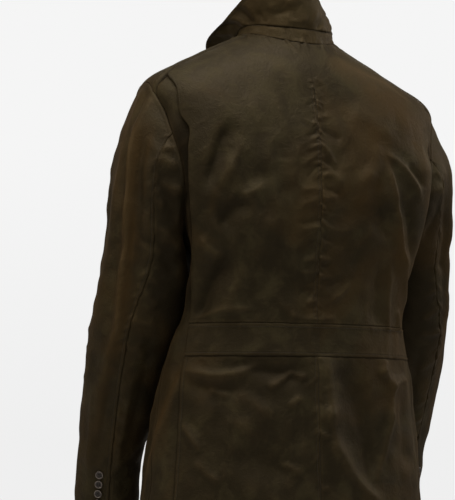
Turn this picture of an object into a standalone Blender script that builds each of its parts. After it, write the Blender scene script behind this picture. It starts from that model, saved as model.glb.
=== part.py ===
"""Waxed cotton jacket, worn form: an action back with side pleats over a sewn-in waist band.

Metres, +Z up. The jacket faces -Y and the wearer's left is +X. The origin is the middle of the
neck opening at the height of the neck points, where the jacket hangs on the shoulders.

Every panel is a cloth wall on one body form. The form is a stack of level sections, each a rounded
oval, and a panel is a grid between its own seam lines. A place on the form is named by the angle
round it, 0 at the centre back and a half turn at the centre front, and by the height of its level at
the side of the body. What lies over or under another layer is the same form moved out or in.
"""

import math
from typing import NamedTuple

import bpy
import numpy as np
from mathutils import Matrix

# ---------------------------------------------------------------- sizes
# The wall of waxed cloth, and how far each kind of seam keeps its two panels apart.
WALL = 0.0015
FLAT_SEAM = 0.0002
TURNED_SEAM = 0.0011
SHOULDER_SEAM = 0.0013
NECK_SEAM = 0.0009
COLLAR_SEAM = 0.0009
UNDERARM_SEAM = 0.0042
PLEAT_SEAM = 0.0011
SLEEVE_HEAD_SEAM = 0.0014
SEAT = 0.0003

# Heights on the form, and the raised waist band.
HEM = -0.762
BAND_BOTTOM = -0.494
BAND_TOP = -0.446
BAND_PROUD = 0.0006
ARMPIT = -0.311

# The side pleats of the back: distance between plies, depth of the lap, and where it opens and fades.
PLY_PITCH = 0.0031
PLY_PITCH_SEWN = 0.0030
PLY_OPENS_OVER = 0.050
PLEAT_STITCHED_TO = -0.150
LAP_UNDER_BAND = 0.0022
LAP_GATHERS_OVER = 0.022
PLEAT_DEPTH = 0.034
PLEAT_DEPTH_TOP = 0.010
PLEAT_DEEPENS_FROM = -0.130
PLEAT_DEEPENS_OVER = 0.090
PROUD_REACH = 0.055
SIDE_SETTLES_OVER = 0.030
SIDE_SETTLES_MOST = 0.65

# The fronts' lap.
FRONT_LAP = 0.020
FRONT_LAP_AT_NECK = 0.016
FRONT_PLY = 0.0017
FRONT_PLY_REACH = 0.050
FRONT_PLY_FLAT = 1.4

# Armholes, shoulder seams and the hollow beside each arm.
ARMHOLE_MIDDLE_Y = 0.010
ARMHOLE_MIDDLE_Z = -0.201
ARMHOLE_HALF_HEIGHT = 0.110
ARMHOLE_TO_BACK = 0.088
ARMHOLE_TO_FRONT = 0.086
ARMHOLE_SQUARE = 0.95
ARMHOLE_LEAN = 0.0115
UNDERARM_SPREAD = 78.0
SHOULDER_SEAM_Y = 0.055
SHOULDER_SEAM_SWEEP = 0.024
SWEEP_FROM = 0.35
SWEEP_OVER = 0.45
CENTRE_AT_PLEAT = -0.098
HOLLOW_FROM_X = 0.080
HOLLOW_BLEND = 0.090
SHOULDER_DROP = 0.033

# Sleeve seams as turns round the armhole, 0 at the top and 90 at the back.
BACK_SEAM_TURN = 70.0
FRONT_SEAM_TURN = 262.0

# The fullness of each sleeve's inner side.
INNER_FULL = 0.006
INNER_FULL_AT = -0.47
INNER_FULL_OVER = 0.10

# The neck and the turned-up collar.
NECK_POINT_ANGLE = math.radians(68.0)
COLLAR_END_ANGLE = 167.0
STAND_LEAN = 0.003
FALL_ROLL = 0.22

# Buttons: sizes, places and the proportions of the turned disc.
CUFF_BUTTON_DIAMETER = 0.0125
CUFF_BUTTON_PITCH = 0.0150
CUFF_BUTTON_COUNT = 4
CUFF_BUTTON_FROM_HEM = 0.045
CUFF_BUTTON_TURN = 14.0
BUTTON_BED = 0.0001
FRONT_BUTTON_DIAMETER = 0.0190
FRONT_BUTTON_HEIGHTS = (-0.150, -0.262, -0.374, -0.486, -0.598)
BUTTON_THICK = 0.17
BUTTON_WELL = 0.62
BUTTON_RIM = 0.13
BUTTON_BEVEL = 0.22
BUTTON_HOLE = 0.045
BUTTON_HOLE_SPREAD = 0.10
BUTTON_STEPS = 20

# Rows and columns of the panels.
SKIRT_ROWS = 7
BAND_ROWS = 2
BODY_ROWS = 4
SHOULDER_COLUMNS = 4
HEAD_ROWS = 7
TUBE_ROWS = 9
BACK_COLUMNS = 6
NECK_BACK = np.linspace(0.0, NECK_POINT_ANGLE, BACK_COLUMNS + 1)
NECK_FRONT = np.linspace(NECK_POINT_ANGLE, math.radians(COLLAR_END_ANGLE), 6)
STRIP_SHARES = np.array([0.0, 0.12, 0.35, 0.65, 1.0])
BAND_COLUMNS = 18
SKIRT_COLUMNS = 9
STEP = 1e-4


class Level(NamedTuple):
    """One section of the body form."""

    name: str
    z_side: float
    z_back: float
    z_front: float
    half_width: float
    y_side: float
    y_back: float
    y_front: float
    square_back: float
    square_front: float


LEVELS = (
    Level("hem", -0.762, -0.762, -0.777, 0.226, -0.006, 0.134, -0.162, 2.2, 2.3),
    Level("hip", -0.632, -0.632, -0.642, 0.213, -0.004, 0.128, -0.150, 2.2, 2.3),
    Level("band_bottom", -0.494, -0.494, -0.500, 0.199, 0.000, 0.121, -0.138, 2.2, 2.3),
    Level("band_top", -0.446, -0.446, -0.451, 0.193, 0.000, 0.119, -0.134, 2.2, 2.3),
    Level("rib", -0.390, -0.390, -0.396, 0.191, 0.000, 0.122, -0.132, 2.5, 2.4),
    Level("armpit", -0.311, -0.312, -0.322, 0.198, 0.000, 0.134, -0.132, 3.1, 2.6),
    Level("blade", -0.215, -0.226, -0.250, 0.214, 0.000, 0.139, -0.128, 3.6, 2.6),
    Level("upper", -0.140, -0.165, -0.195, 0.226, 0.004, 0.132, -0.119, 3.2, 2.5),
    Level("tip", -0.086, -0.112, -0.152, 0.228, 0.008, 0.119, -0.107, 2.6, 2.3),
    Level("mid", -0.043, -0.064, -0.120, 0.155, 0.010, 0.106, -0.093, 2.2, 2.2),
    Level("neck", 0.000, -0.018, -0.085, 0.0755, 0.005, 0.080, -0.070, 2.0, 2.0),
)


class ArmHollow(NamedTuple):
    """Where each hanging arm presses the side of the body in."""

    z: float
    depth_left: float
    depth_right: float
    y_left: float
    y_right: float
    half_length: float


ARM_HOLLOWS = (
    ArmHollow(-0.680, 0.000, 0.000, -0.120, -0.100, 0.070),
    ArmHollow(-0.630, 0.003, 0.003, -0.115, -0.080, 0.070),
    ArmHollow(-0.550, 0.016, 0.018, -0.078, -0.056, 0.075),
    ArmHollow(-0.460, 0.030, 0.033, -0.053, -0.042, 0.082),
    ArmHollow(-0.400, 0.035, 0.037, -0.038, -0.032, 0.085),
    ArmHollow(-0.345, 0.041, 0.041, -0.022, -0.020, 0.085),
    ArmHollow(-0.311, 0.024, 0.024, -0.005, -0.005, 0.080),
    ArmHollow(-0.250, 0.000, 0.000, 0.000, 0.000, 0.080),
)


class PleatEdge(NamedTuple):
    """The side-back line: how far back it lies, and how far the folded edge stands off each side."""

    z: float
    y: float
    proud_left: float
    proud_right: float


PLEAT_EDGES = (
    PleatEdge(-0.762, 0.060, 0.000, 0.000),
    PleatEdge(-0.594, 0.054, 0.000, 0.000),
    PleatEdge(-0.494, 0.054, 0.000, 0.000),
    PleatEdge(-0.446, 0.054, 0.000, 0.000),
    PleatEdge(-0.386, 0.066, 0.004, 0.003),
    PleatEdge(-0.320, 0.086, 0.008, 0.009),
    PleatEdge(-0.270, 0.096, 0.008, 0.010),
    PleatEdge(-0.200, 0.103, 0.004, 0.009),
    PleatEdge(-0.168, 0.102, 0.001, 0.003),
    PleatEdge(-0.146, 0.090, 0.000, 0.000),
    PleatEdge(-0.126, 0.087, 0.000, 0.000),
    PleatEdge(-0.104, 0.079, 0.000, 0.000),
    PleatEdge(-0.080, 0.054, 0.000, 0.000),
)


class SleeveRing(NamedTuple):
    """One section of a sleeve below the armpit: how far out, each arm's way forward, and its size."""

    name: str
    x: float
    y_left: float
    y_right: float
    z: float
    half_width: float
    half_depth: float


SLEEVE_RINGS = (
    SleeveRing("biceps", 0.2210, -0.018, -0.018, -0.345, 0.0610, 0.072),
    SleeveRing("above_elbow", 0.2265, -0.036, -0.030, -0.405, 0.0610, 0.069),
    SleeveRing("elbow", 0.2300, -0.056, -0.044, -0.462, 0.0600, 0.066),
    SleeveRing("forearm", 0.2350, -0.096, -0.078, -0.551, 0.0535, 0.059),
    SleeveRing("above_cuff", 0.2380, -0.128, -0.102, -0.630, 0.0465, 0.051),
    SleeveRing("cuff", 0.2340, -0.160, -0.126, -0.742, 0.0470, 0.050),
)


class HeadLine(NamedTuple):
    """The way the sleeve sets out from the armhole at one turn, 0 at the top and 90 at the back."""

    turn: float
    out: float
    back: float
    down: float


SLEEVE_HEAD = (
    HeadLine(-90.0, 0.80, -0.15, 0.58),
    HeadLine(-45.0, 0.62, -0.12, 0.77),
    HeadLine(0.0, 0.50, 0.00, 0.87),
    HeadLine(45.0, 0.62, 0.10, 0.78),
    HeadLine(90.0, 0.78, 0.06, 0.62),
    HeadLine(135.0, 0.40, -0.03, 0.92),
    HeadLine(180.0, 0.42, 0.00, 0.91),
    HeadLine(225.0, 0.42, 0.05, 0.90),
    HeadLine(270.0, 0.80, -0.15, 0.58),
    HeadLine(315.0, 0.62, -0.12, 0.77),
    HeadLine(360.0, 0.50, 0.00, 0.87),
    HeadLine(405.0, 0.62, 0.10, 0.78),
    HeadLine(450.0, 0.78, 0.06, 0.62),
)


class CollarSection(NamedTuple):
    """The turned-up collar at one angle round the neck, the wearer's left positive."""

    angle: float
    stand_height: float
    edge_x: float
    edge_y: float
    edge_z: float


COLLAR = (
    CollarSection(-167.0, 0.014, -0.044, -0.104, -0.040),
    CollarSection(-130.0, 0.014, -0.076, -0.062, -0.004),
    CollarSection(-90.0, 0.014, -0.069, 0.000, 0.034),
    CollarSection(-45.0, 0.019, -0.041, 0.052, 0.052),
    CollarSection(0.0, 0.023, 0.008, 0.084, 0.070),
    CollarSection(45.0, 0.018, 0.070, 0.056, 0.062),
    CollarSection(90.0, 0.013, 0.094, -0.012, 0.026),
    CollarSection(130.0, 0.013, 0.104, -0.064, -0.004),
    CollarSection(167.0, 0.013, 0.060, -0.110, -0.044),
)


class Fold(NamedTuple):
    """One large soft ridge (out) or trough (in), between two places given as round and up."""

    round_from: float
    z_from: float
    round_to: float
    z_to: float
    half_width: float
    rise: float


BACK_FOLDS = (
    Fold(0.135, -0.190, 0.105, -0.250, 0.026, -0.0050),
    Fold(-0.075, -0.215, -0.150, -0.330, 0.022, 0.0045),
    Fold(-0.150, -0.330, -0.165, -0.430, 0.018, 0.0045),
)

SKIRT_FOLDS = (
    Fold(0.170, -0.512, 0.055, -0.518, 0.014, 0.0050),
    Fold(0.110, -0.535, 0.030, -0.530, 0.014, -0.0050),
    Fold(-0.010, -0.515, -0.015, -0.610, 0.020, 0.0070),
    Fold(-0.020, -0.620, -0.085, -0.750, 0.026, 0.0075),
    Fold(-0.050, -0.550, -0.110, -0.690, 0.026, -0.0080),
    Fold(-0.120, -0.510, -0.130, -0.680, 0.018, 0.0060),
)

OLIVE_BROWN = (0.030, 0.022, 0.010, 1.0)
HORN_BROWN = (0.020, 0.014, 0.010, 1.0)

SIDES = {"left": 1.0, "right": -1.0}


# ---------------------------------------------------------------- curves and rounding
def read_curve(places, values, at):
    """A smooth curve through the values, its slope at each place the mean of its two chords."""
    places = np.asarray(places, float)
    values = np.asarray(values, float)
    chord = np.diff(values) / np.diff(places)
    slope = np.concatenate([chord[:1], (chord[1:] + chord[:-1]) / 2, chord[-1:]])
    at = np.clip(at, places[0], places[-1])
    k = np.clip(np.searchsorted(places, at) - 1, 0, len(places) - 2)
    span = places[k + 1] - places[k]
    t = (at - places[k]) / span
    start = (1 + 2 * t) * (1 - t) ** 2 * values[k] + t * (1 - t) ** 2 * span * slope[k]
    end = t**2 * (3 - 2 * t) * values[k + 1] + t**2 * (t - 1) * span * slope[k + 1]
    return start + end


def column(table, name):
    return [getattr(row, name) for row in table]


def level_value(name, height):
    return read_curve(column(LEVELS, "z_side"), column(LEVELS, name), height)


def ease(t):
    t = np.clip(t, 0.0, 1.0)
    return t * t * (3 - 2 * t)


def stand(points):
    """The wearer's stance: the shoulders level at the waist and lower on the right above it."""
    points = points.copy()
    above = ease((points[..., 2] - BAND_BOTTOM) / (ARMPIT / 2 - BAND_BOTTOM))
    points[..., 2] += SHOULDER_DROP * points[..., 0] * above
    return points


def unit(vectors):
    return vectors / np.linalg.norm(vectors, axis=-1, keepdims=True)


# ---------------------------------------------------------------- the body form
def arm_hollow(x, y, z):
    """How far the arm presses the side in: a flat-topped bump along Y, deepest beside the elbow."""
    heights = column(ARM_HOLLOWS, "z")
    deep_left = read_curve(heights, column(ARM_HOLLOWS, "depth_left"), z)
    deep_right = read_curve(heights, column(ARM_HOLLOWS, "depth_right"), z)
    depth = np.maximum(np.where(x > 0, deep_left, deep_right), 0.0)
    left = read_curve(heights, column(ARM_HOLLOWS, "y_left"), z)
    right = read_curve(heights, column(ARM_HOLLOWS, "y_right"), z)
    middle = np.where(x > 0, left, right)
    reach = read_curve(heights, column(ARM_HOLLOWS, "half_length"), z)
    inner = ease((np.abs(x) - HOLLOW_FROM_X) / HOLLOW_BLEND)
    return depth * inner * np.exp(-(((y - middle) / reach) ** 4) * 1.5)


def form(angle, height):
    """Points of the form: a squared oval at each level, its back, side and front at their own heights."""
    angle, height = np.broadcast_arrays(angle, height)
    c, s = np.cos(angle), np.sin(angle)
    back = c >= 0
    y_side = level_value("y_side", height)
    reach = np.where(back, level_value("y_back", height) - y_side, y_side - level_value("y_front", height))
    power = np.where(back, level_value("square_back", height), level_value("square_front", height))
    end_z = np.where(back, level_value("z_back", height), level_value("z_front", height))
    r = (np.abs(c) ** power + np.abs(s) ** power) ** (-1 / power)
    x = level_value("half_width", height) * r * s
    y = y_side + reach * r * c
    z = height + (end_z - height) * c**2
    return np.stack([x - np.sign(x) * arm_hollow(x, y, z), y, z], axis=-1)


def form_normal(angle, height):
    """Outward unit normals, across the two ways the form runs."""
    round_way = form(angle + STEP, height) - form(angle - STEP, height)
    up_way = form(angle, height + STEP) - form(angle, height - STEP)
    return unit(np.cross(up_way, round_way))


def round_rate(angle, height):
    """Metres round the form for each radian of angle."""
    return np.linalg.norm(form(angle + STEP, height) - form(angle - STEP, height), axis=-1) / (2 * STEP)


def angle_at(y, z):
    """The form's angle and level where it passes through a given Y and Z on the wearer's left."""
    height = np.asarray(z, float)
    for _ in range(6):
        y_side = level_value("y_side", height)
        back = y >= y_side
        reach = np.where(back, level_value("y_back", height) - y_side, y_side - level_value("y_front", height))
        power = np.where(back, level_value("square_back", height), level_value("square_front", height))
        v = np.clip((y - y_side) / reach, -0.999, 0.999)
        u = (1 - np.abs(v) ** power) ** (1 / power)
        angle = np.arctan2(u, v)
        end_z = np.where(back, level_value("z_back", height), level_value("z_front", height))
        height = np.clip((z - end_z * np.cos(angle) ** 2) / np.sin(angle) ** 2, HEM, 0.0)
    return angle, height


def round_from_back(angle, height):
    """Metres round the form from the centre back, the wearer's left positive."""
    size = np.abs(angle)
    steps = np.linspace(0.0, 1.0, 25)
    path = form(size[..., None] * steps, np.broadcast_to(height, size.shape)[..., None])
    return np.sign(angle) * np.linalg.norm(np.diff(path, axis=-2), axis=-1).sum(axis=-1)


def relief(angle, height, folds):
    """The folds' rise: each a soft bell across its line that fades over its last quarter at both ends."""
    across = round_from_back(angle, height)
    z = form(angle, height)[..., 2]
    rise = np.zeros_like(across)
    for fold in folds:
        way = np.array([fold.round_to - fold.round_from, fold.z_to - fold.z_from])
        length = np.hypot(*way)
        way = way / length
        du, dz = across - fold.round_from, z - fold.z_from
        t = (du * way[0] + dz * way[1]) / length
        off = (-du * way[1] + dz * way[0]) / fold.half_width
        fade = ease(0.5 + t * 3) * ease(0.5 + (1 - t) * 3)
        rise = rise + fold.rise * np.exp(-(off**2)) * fade
    return rise


def on_form(angle, height, out=0.0):
    """Points of the form moved out along its normals."""
    out = np.broadcast_to(out, np.broadcast(angle, height).shape)
    return form(angle, height) + form_normal(angle, height) * out[..., None]


# ---------------------------------------------------------------- seam lines
def armhole_y(turns):
    """How far back the armhole lies: an oval in side view whose back edge leans forward at its top."""
    t = np.radians(turns)
    reach = np.where(np.sin(t) > 0, ARMHOLE_TO_BACK, ARMHOLE_TO_FRONT)
    lean = ARMHOLE_LEAN * np.maximum(np.sin(t), 0.0) * (1 + np.sin(2 * t))
    return ARMHOLE_MIDDLE_Y + reach * np.sign(np.sin(t)) * np.abs(np.sin(t)) ** ARMHOLE_SQUARE - lean


def shoulder_end():
    """The turn of the armhole where the shoulder seam meets it."""
    turns = np.linspace(2.0, 60.0, 200)
    return float(np.interp(SHOULDER_SEAM_Y, armhole_y(turns), turns))


def armhole_turns():
    """Shared places round the armhole, in degrees from the top towards the back and on round."""
    end = shoulder_end()
    return np.concatenate(
        [
            np.linspace(end, BACK_SEAM_TURN, 4)[:-1],
            np.linspace(BACK_SEAM_TURN, 180.0, 8)[:-1],
            np.linspace(180.0, FRONT_SEAM_TURN, 6)[:-1],
            np.linspace(FRONT_SEAM_TURN, 360.0 + end, 8),
        ]
    )


def armhole_place(turns):
    """Angle and level on the form of the armhole, an oval seen from the side."""
    z = ARMHOLE_MIDDLE_Z + ARMHOLE_HALF_HEIGHT * np.cos(np.radians(turns))
    return angle_at(armhole_y(turns), z)


def armhole_seam(turns):
    """How far cloth stops short of the armhole seam: more under the arm, where the seam folds back."""
    under = np.exp(-(((turns % 360.0 - 180.0) / UNDERARM_SPREAD) ** 2))
    return (TURNED_SEAM + (UNDERARM_SEAM - TURNED_SEAM) * under)[:, None]


def side_seam_angle(height):
    angle, _ = angle_at(np.full_like(np.asarray(height, float), ARMHOLE_MIDDLE_Y), height)
    return angle


def pleat_edge(z):
    y = read_curve(column(PLEAT_EDGES, "z"), column(PLEAT_EDGES, "y"), z)
    return angle_at(y, z)


def edge_heights():
    """Heights shared by the back, band, skirt and side panels along the side-back line."""
    skirt = np.linspace(HEM, BAND_BOTTOM, SKIRT_ROWS + 1)[:-1]
    band = np.linspace(BAND_BOTTOM, BAND_TOP, BAND_ROWS + 1)[:-1]
    back = np.linspace(BAND_TOP, ARMPIT, BODY_ROWS + 1)[:-1]
    turns = armhole_turns()
    rising = turns[turns <= 180.0][::-1]
    z = ARMHOLE_MIDDLE_Z + ARMHOLE_HALF_HEIGHT * np.cos(np.radians(rising))
    top = PLEAT_EDGES[-1].z
    z = ARMPIT + (z - z[0]) * (top - ARMPIT) / (z[-1] - z[0])
    return np.concatenate([skirt, band, back, z])


def shoulder_line(share):
    """The shoulder seam from the neck point out to the armhole, sweeping back behind the ridge."""
    end_angle, end_height = armhole_place(np.array([shoulder_end()]))
    height = end_height[0] * share
    y = SHOULDER_SEAM_Y - SHOULDER_SEAM_SWEEP * (1 - ease((share - SWEEP_FROM) / SWEEP_OVER))
    v = (y - level_value("y_side", height)) / (level_value("y_back", height) - level_value("y_side", height))
    power = level_value("square_back", height)
    straight = np.arctan2((1 - np.clip(v, 0, 0.999) ** power) ** (1 / power), v)
    return NECK_POINT_ANGLE + (straight - NECK_POINT_ANGLE) * ease(share * 4), height


def pleat_share():
    """How far out along the shoulder seam the pleat line starts."""
    shares = np.linspace(0.5, 1.0, 200)
    _, heights = shoulder_line(shares)
    _, top = pleat_edge(np.array([PLEAT_EDGES[-1].z]))
    return float(np.interp(-top[0], -heights, shares))


def square_steps(angle, height):
    """The chart steps for a metre square to a line of places on the form."""
    points = form(angle, height)
    square = unit(np.cross(form_normal(angle, height), np.gradient(points, axis=0)))
    by_angle = (form(angle + STEP, height) - form(angle - STEP, height)) / (2 * STEP)
    by_height = (form(angle, height + STEP) - form(angle, height - STEP)) / (2 * STEP)
    aa = (by_angle**2).sum(-1)
    hh = (by_height**2).sum(-1)
    ah = (by_angle * by_height).sum(-1)
    da = (square * by_angle).sum(-1)
    dh = (square * by_height).sum(-1)
    det = aa * hh - ah**2
    return (da * hh - dh * ah) / det, (dh * aa - da * ah) / det


def edge_line():
    """The side-back line from hem to shoulder seam, and the chart steps for a metre square to it."""
    angle, height = pleat_edge(edge_heights())
    seam = shoulder_line(np.array([pleat_share()]))
    angle[-1], height[-1] = seam[0][0], seam[1][0]
    return angle, height, *square_steps(angle, height)


# ---------------------------------------------------------------- panels as grids
def patch(start, end, low, high):
    """A grid of places between four seam lines: its first and last columns, its lowest and highest rows."""
    start, end, low, high = (np.stack(line, axis=-1) for line in (start, end, low, high))
    r = np.linspace(0, 1, len(start))[:, None, None]
    c = np.linspace(0, 1, len(low))[None, :, None]
    across = (1 - c) * start[:, None] + c * end[:, None]
    along = (1 - r) * low[None] + r * high[None]
    corners = (
        (1 - r) * ((1 - c) * low[0] + c * low[-1])
        + r * ((1 - c) * high[0] + c * high[-1])
    )
    places = across + along - corners
    return places[..., 0], places[..., 1]


def draw_in(grid, first=0.0, last=0.0, low=0.0, high=0.0):
    """Pull the grid's edges in along the cloth, so that it stops short of its seams."""
    grid = grid.copy()
    grid[:, 0] += first * unit(grid[:, 1] - grid[:, 0])
    grid[:, -1] += last * unit(grid[:, -2] - grid[:, -1])
    grid[0] += low * unit(grid[1] - grid[0])
    grid[-1] += high * unit(grid[-2] - grid[-1])
    return grid


def proud(z, side):
    name = "proud_left" if side > 0 else "proud_right"
    return np.maximum(read_curve(column(PLEAT_EDGES, "z"), column(PLEAT_EDGES, name), z), 0.0)


def ply(z):
    """Distance between the pleat's layers: close where it is sewn, open between."""
    low = ease((z - BAND_TOP) / PLY_OPENS_OVER)
    high = ease((PLEAT_STITCHED_TO - z) / PLY_OPENS_OVER)
    return PLY_PITCH_SEWN + (PLY_PITCH - PLY_PITCH_SEWN) * low * high


def lap_depth(z):
    """How far the pleat folds under the back."""
    deeper = ease((PLEAT_DEEPENS_FROM - z) / PLEAT_DEEPENS_OVER)
    return PLEAT_DEPTH_TOP + (PLEAT_DEPTH - PLEAT_DEPTH_TOP) * deeper


def back_panel(side):
    """Half of the back, its edge turned under and the pleat's own ply behind it.

    The last body column runs up the side-back line and on along the shoulder seam to the neck point.
    The turned ply belongs to the side-back line's rows alone, so the grid's faces beside it are left
    out above them.
    """
    edge = [values[SKIRT_ROWS + BAND_ROWS :] for values in edge_line()]
    rows = len(edge[0])
    shares = np.linspace(pleat_share(), 0, SHOULDER_COLUMNS + 1)[1:]
    seam = shoulder_line(shares)
    line = (np.concatenate([edge[0], seam[0]]), np.concatenate([edge[1], seam[1]]))
    z_edge = form(edge[0], edge[1])[:, 2]
    up_edge = (z_edge - BAND_TOP) / (z_edge[-1] - BAND_TOP)
    up_centre = BAND_TOP + (CENTRE_AT_PLEAT - BAND_TOP) * up_edge
    centre = np.concatenate([up_centre, CENTRE_AT_PLEAT * shares / pleat_share()])
    share = np.linspace(0, 1, BACK_COLUMNS + 1)
    angle = line[0][:, None] * share
    height = centre[:, None] * (1 - share) + line[1][:, None] * share
    off_body = np.concatenate([proud(z_edge, side), np.zeros(len(shares))])[:, None]
    from_edge = (line[0][:, None] - angle) * round_rate(*line)[:, None]
    out = relief(angle * side, height, BACK_FOLDS) + off_body * ease(1 - from_edge / PROUD_REACH)
    body = on_form(angle * side, height, out)

    pitch = ply(z_edge)[:, None]
    depth = lap_depth(z_edge)[:, None]
    turn = np.radians([30.0, -30.0, -90.0])[None]
    along = np.concatenate(
        [pitch / 2 * np.cos(turn), -depth / 2, -depth + pitch / 2, -depth],
        axis=1,
    )
    inward = np.concatenate(
        [pitch / 2 * (np.sin(turn) - 1), -pitch, -pitch, -1.5 * pitch],
        axis=1,
    )
    lap_angle = edge[0][:, None] + along * edge[2][:, None]
    lap_height = edge[1][:, None] + along * edge[3][:, None]
    lap_relief = relief(lap_angle * side, lap_height, BACK_FOLDS)
    stand_off = proud(z_edge, side)[:, None] * ease(1 + np.minimum(along, 0) / PROUD_REACH)
    lap = on_form(lap_angle * side, lap_height, inward + lap_relief + stand_off)
    lap = np.concatenate([lap, np.repeat(lap[-1:], len(shares), axis=0)])
    grid = np.concatenate([body, lap], axis=1)

    last = BACK_COLUMNS
    grid[:, 0] += FLAT_SEAM * unit(grid[:, 1] - grid[:, 0])
    grid[0] += FLAT_SEAM * unit(grid[1] - grid[0])
    grid[:rows, -1] += PLEAT_SEAM * unit(grid[:rows, -2] - grid[:rows, -1])
    grid[rows - 1, last:] += SHOULDER_SEAM * unit(grid[rows - 2, last:] - grid[rows - 1, last:])
    grid[rows:, last] += SHOULDER_SEAM * unit(grid[rows:, last - 1] - grid[rows:, last])
    grid[-1, : last + 1] += NECK_SEAM * unit(grid[-2, : last + 1] - grid[-1, : last + 1])
    kept = np.ones((len(grid) - 1, grid.shape[1] - 1), bool)
    kept[rows - 1 :, last:] = False
    return grid, kept


def side_panel(side):
    """The full-length side, from under the pleat round to the side seam and up behind the armhole."""
    z_edge = edge_heights()
    line = edge_line()
    edge = (line[0], line[1])
    rate = round_rate(*edge)
    turns = armhole_turns()
    rising = turns[turns <= 180.0][::-1]
    hole = armhole_place(rising)
    plain = z_edge[: SKIRT_ROWS + BAND_ROWS + BODY_ROWS]
    outer_angle = np.concatenate([side_seam_angle(plain), hole[0]])
    outer_height = np.concatenate([plain, hole[1]])
    seam_top = shoulder_line(pleat_share() + (1 - pleat_share()) * STRIP_SHARES)

    angle = edge[0][:, None] + (outer_angle - edge[0])[:, None] * STRIP_SHARES
    height = edge[1][:, None] + (outer_height - edge[1])[:, None] * STRIP_SHARES
    angle[-1], height[-1] = seam_top
    width = (outer_angle - edge[0]) * rate
    reach = np.minimum(SIDE_SETTLES_MOST, SIDE_SETTLES_OVER / np.maximum(width, STEP))[:, None]
    settle = ease(STRIP_SHARES[None] / reach)

    pitch = ply(z_edge)[:, None]
    pleated = ease((z_edge - BAND_TOP) / LAP_GATHERS_OVER + 1)[:, None]
    deep = LAP_UNDER_BAND + (2 * pitch - LAP_UNDER_BAND) * pleated
    depth = lap_depth(z_edge)[:, None]
    along = np.concatenate([-depth, -depth + pitch / 2, -depth * 0.5], axis=1)
    rising_end = pleated * pitch / 2
    inward = np.concatenate([-deep + rising_end, -deep, -deep], axis=1)
    lap_angle = edge[0][:, None] + along * line[2][:, None]
    lap_height = edge[1][:, None] + along * line[3][:, None]
    folds = BACK_FOLDS + SKIRT_FOLDS
    over = proud(z_edge, side)[:, None]
    lap_out = relief(lap_angle * side, lap_height, folds) + over * ease(1 + along / PROUD_REACH)
    lap = on_form(lap_angle * side, lap_height, inward + lap_out)
    strip_out = relief(angle * side, height, folds) * (1 - settle) + over * (1 - settle)
    strip = on_form(angle * side, height, strip_out - deep * (1 - settle))
    grid = np.concatenate([lap, strip], axis=1)
    grid = draw_in(grid, first=PLEAT_SEAM * pleated, last=FLAT_SEAM, high=SHOULDER_SEAM)
    rows = slice(SKIRT_ROWS + BAND_ROWS + BODY_ROWS, None)
    grid[rows, -1] += armhole_seam(rising) * unit(grid[rows, -2] - grid[rows, -1])
    return grid


def front_panel(side):
    """A front from its lapping edge round to the side seam, up the armhole and to the shoulder seam."""
    plain = edge_heights()[: SKIRT_ROWS + BAND_ROWS + BODY_ROWS]
    turns = armhole_turns()
    hole = armhole_place(turns[turns >= 180.0])
    outer = (
        np.concatenate([side_seam_angle(plain), hole[0]]),
        np.concatenate([plain, hole[1]]),
    )
    above = len(hole[0]) - 1
    neck_steps = len(NECK_FRONT)
    to_neck = np.linspace(ARMPIT, 0.0, above - neck_steps + 1)
    centre_height = np.concatenate([plain, to_neck, np.zeros(neck_steps)])
    neck_rate = round_rate(np.full(1, math.pi), np.zeros(1))[0]
    straight = np.concatenate([plain, to_neck])
    edge_angle = math.pi + FRONT_LAP / round_rate(np.full(len(straight), math.pi), straight)
    edge_angle[-1] = math.pi + FRONT_LAP_AT_NECK / neck_rate
    centre_angle = np.concatenate([edge_angle, NECK_FRONT[::-1]])
    shares = np.concatenate(
        [
            np.linspace(0, pleat_share(), SHOULDER_COLUMNS + 1)[:-1],
            pleat_share() + (1 - pleat_share()) * STRIP_SHARES,
        ]
    )
    top = shoulder_line(shares)
    columns = len(shares)
    bottom = (np.linspace(centre_angle[0], outer[0][0], columns), np.full(columns, HEM))
    angle, height = patch((centre_angle, centre_height), outer, bottom, top)
    from_centre = np.abs(form(angle, height)[..., 0])
    over = side * FRONT_PLY * ease(FRONT_PLY_FLAT - from_centre / FRONT_PLY_REACH)
    over = over * (np.cos(angle) < 0)
    grid = on_form(angle * side, height, over)
    rows = slice(len(straight), None)
    grid = draw_in(grid, last=FLAT_SEAM, high=SHOULDER_SEAM)
    grid[rows, 0] += NECK_SEAM * unit(grid[rows, 1] - grid[rows, 0])
    rows = slice(len(plain), None)
    grid[rows, -1] += armhole_seam(turns[turns >= 180.0]) * unit(grid[rows, -2] - grid[rows, -1])
    return grid


def waist_band():
    """The band across the back between the side-back lines, a little proud of the panels."""
    z = np.linspace(BAND_BOTTOM, BAND_TOP, BAND_ROWS + 1)
    end, height = pleat_edge(z)
    share = np.linspace(-1, 1, BAND_COLUMNS + 1)
    angle = end[:, None] * share
    grid = on_form(angle, np.broadcast_to(height[:, None], angle.shape), BAND_PROUD)
    return draw_in(grid, low=FLAT_SEAM, high=FLAT_SEAM)


def skirt_panel(side):
    """Half of the back skirt, below the band."""
    heights = edge_heights()[: SKIRT_ROWS + 1]
    end, height = pleat_edge(heights)
    share = np.linspace(0, 1, SKIRT_COLUMNS + 1)
    angle = end[:, None] * share
    level = np.broadcast_to(height[:, None], angle.shape)
    grid = on_form(angle * side, level, relief(angle * side, level, SKIRT_FOLDS))
    return draw_in(grid, first=FLAT_SEAM, high=FLAT_SEAM)


# ---------------------------------------------------------------- sleeves
def sleeve_path(share, side):
    places = np.linspace(0, 1, len(SLEEVE_RINGS))
    names = ("x", "y_left" if side > 0 else "y_right", "z")
    return np.stack([read_curve(places, column(SLEEVE_RINGS, name), share) for name in names], axis=-1)


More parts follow.
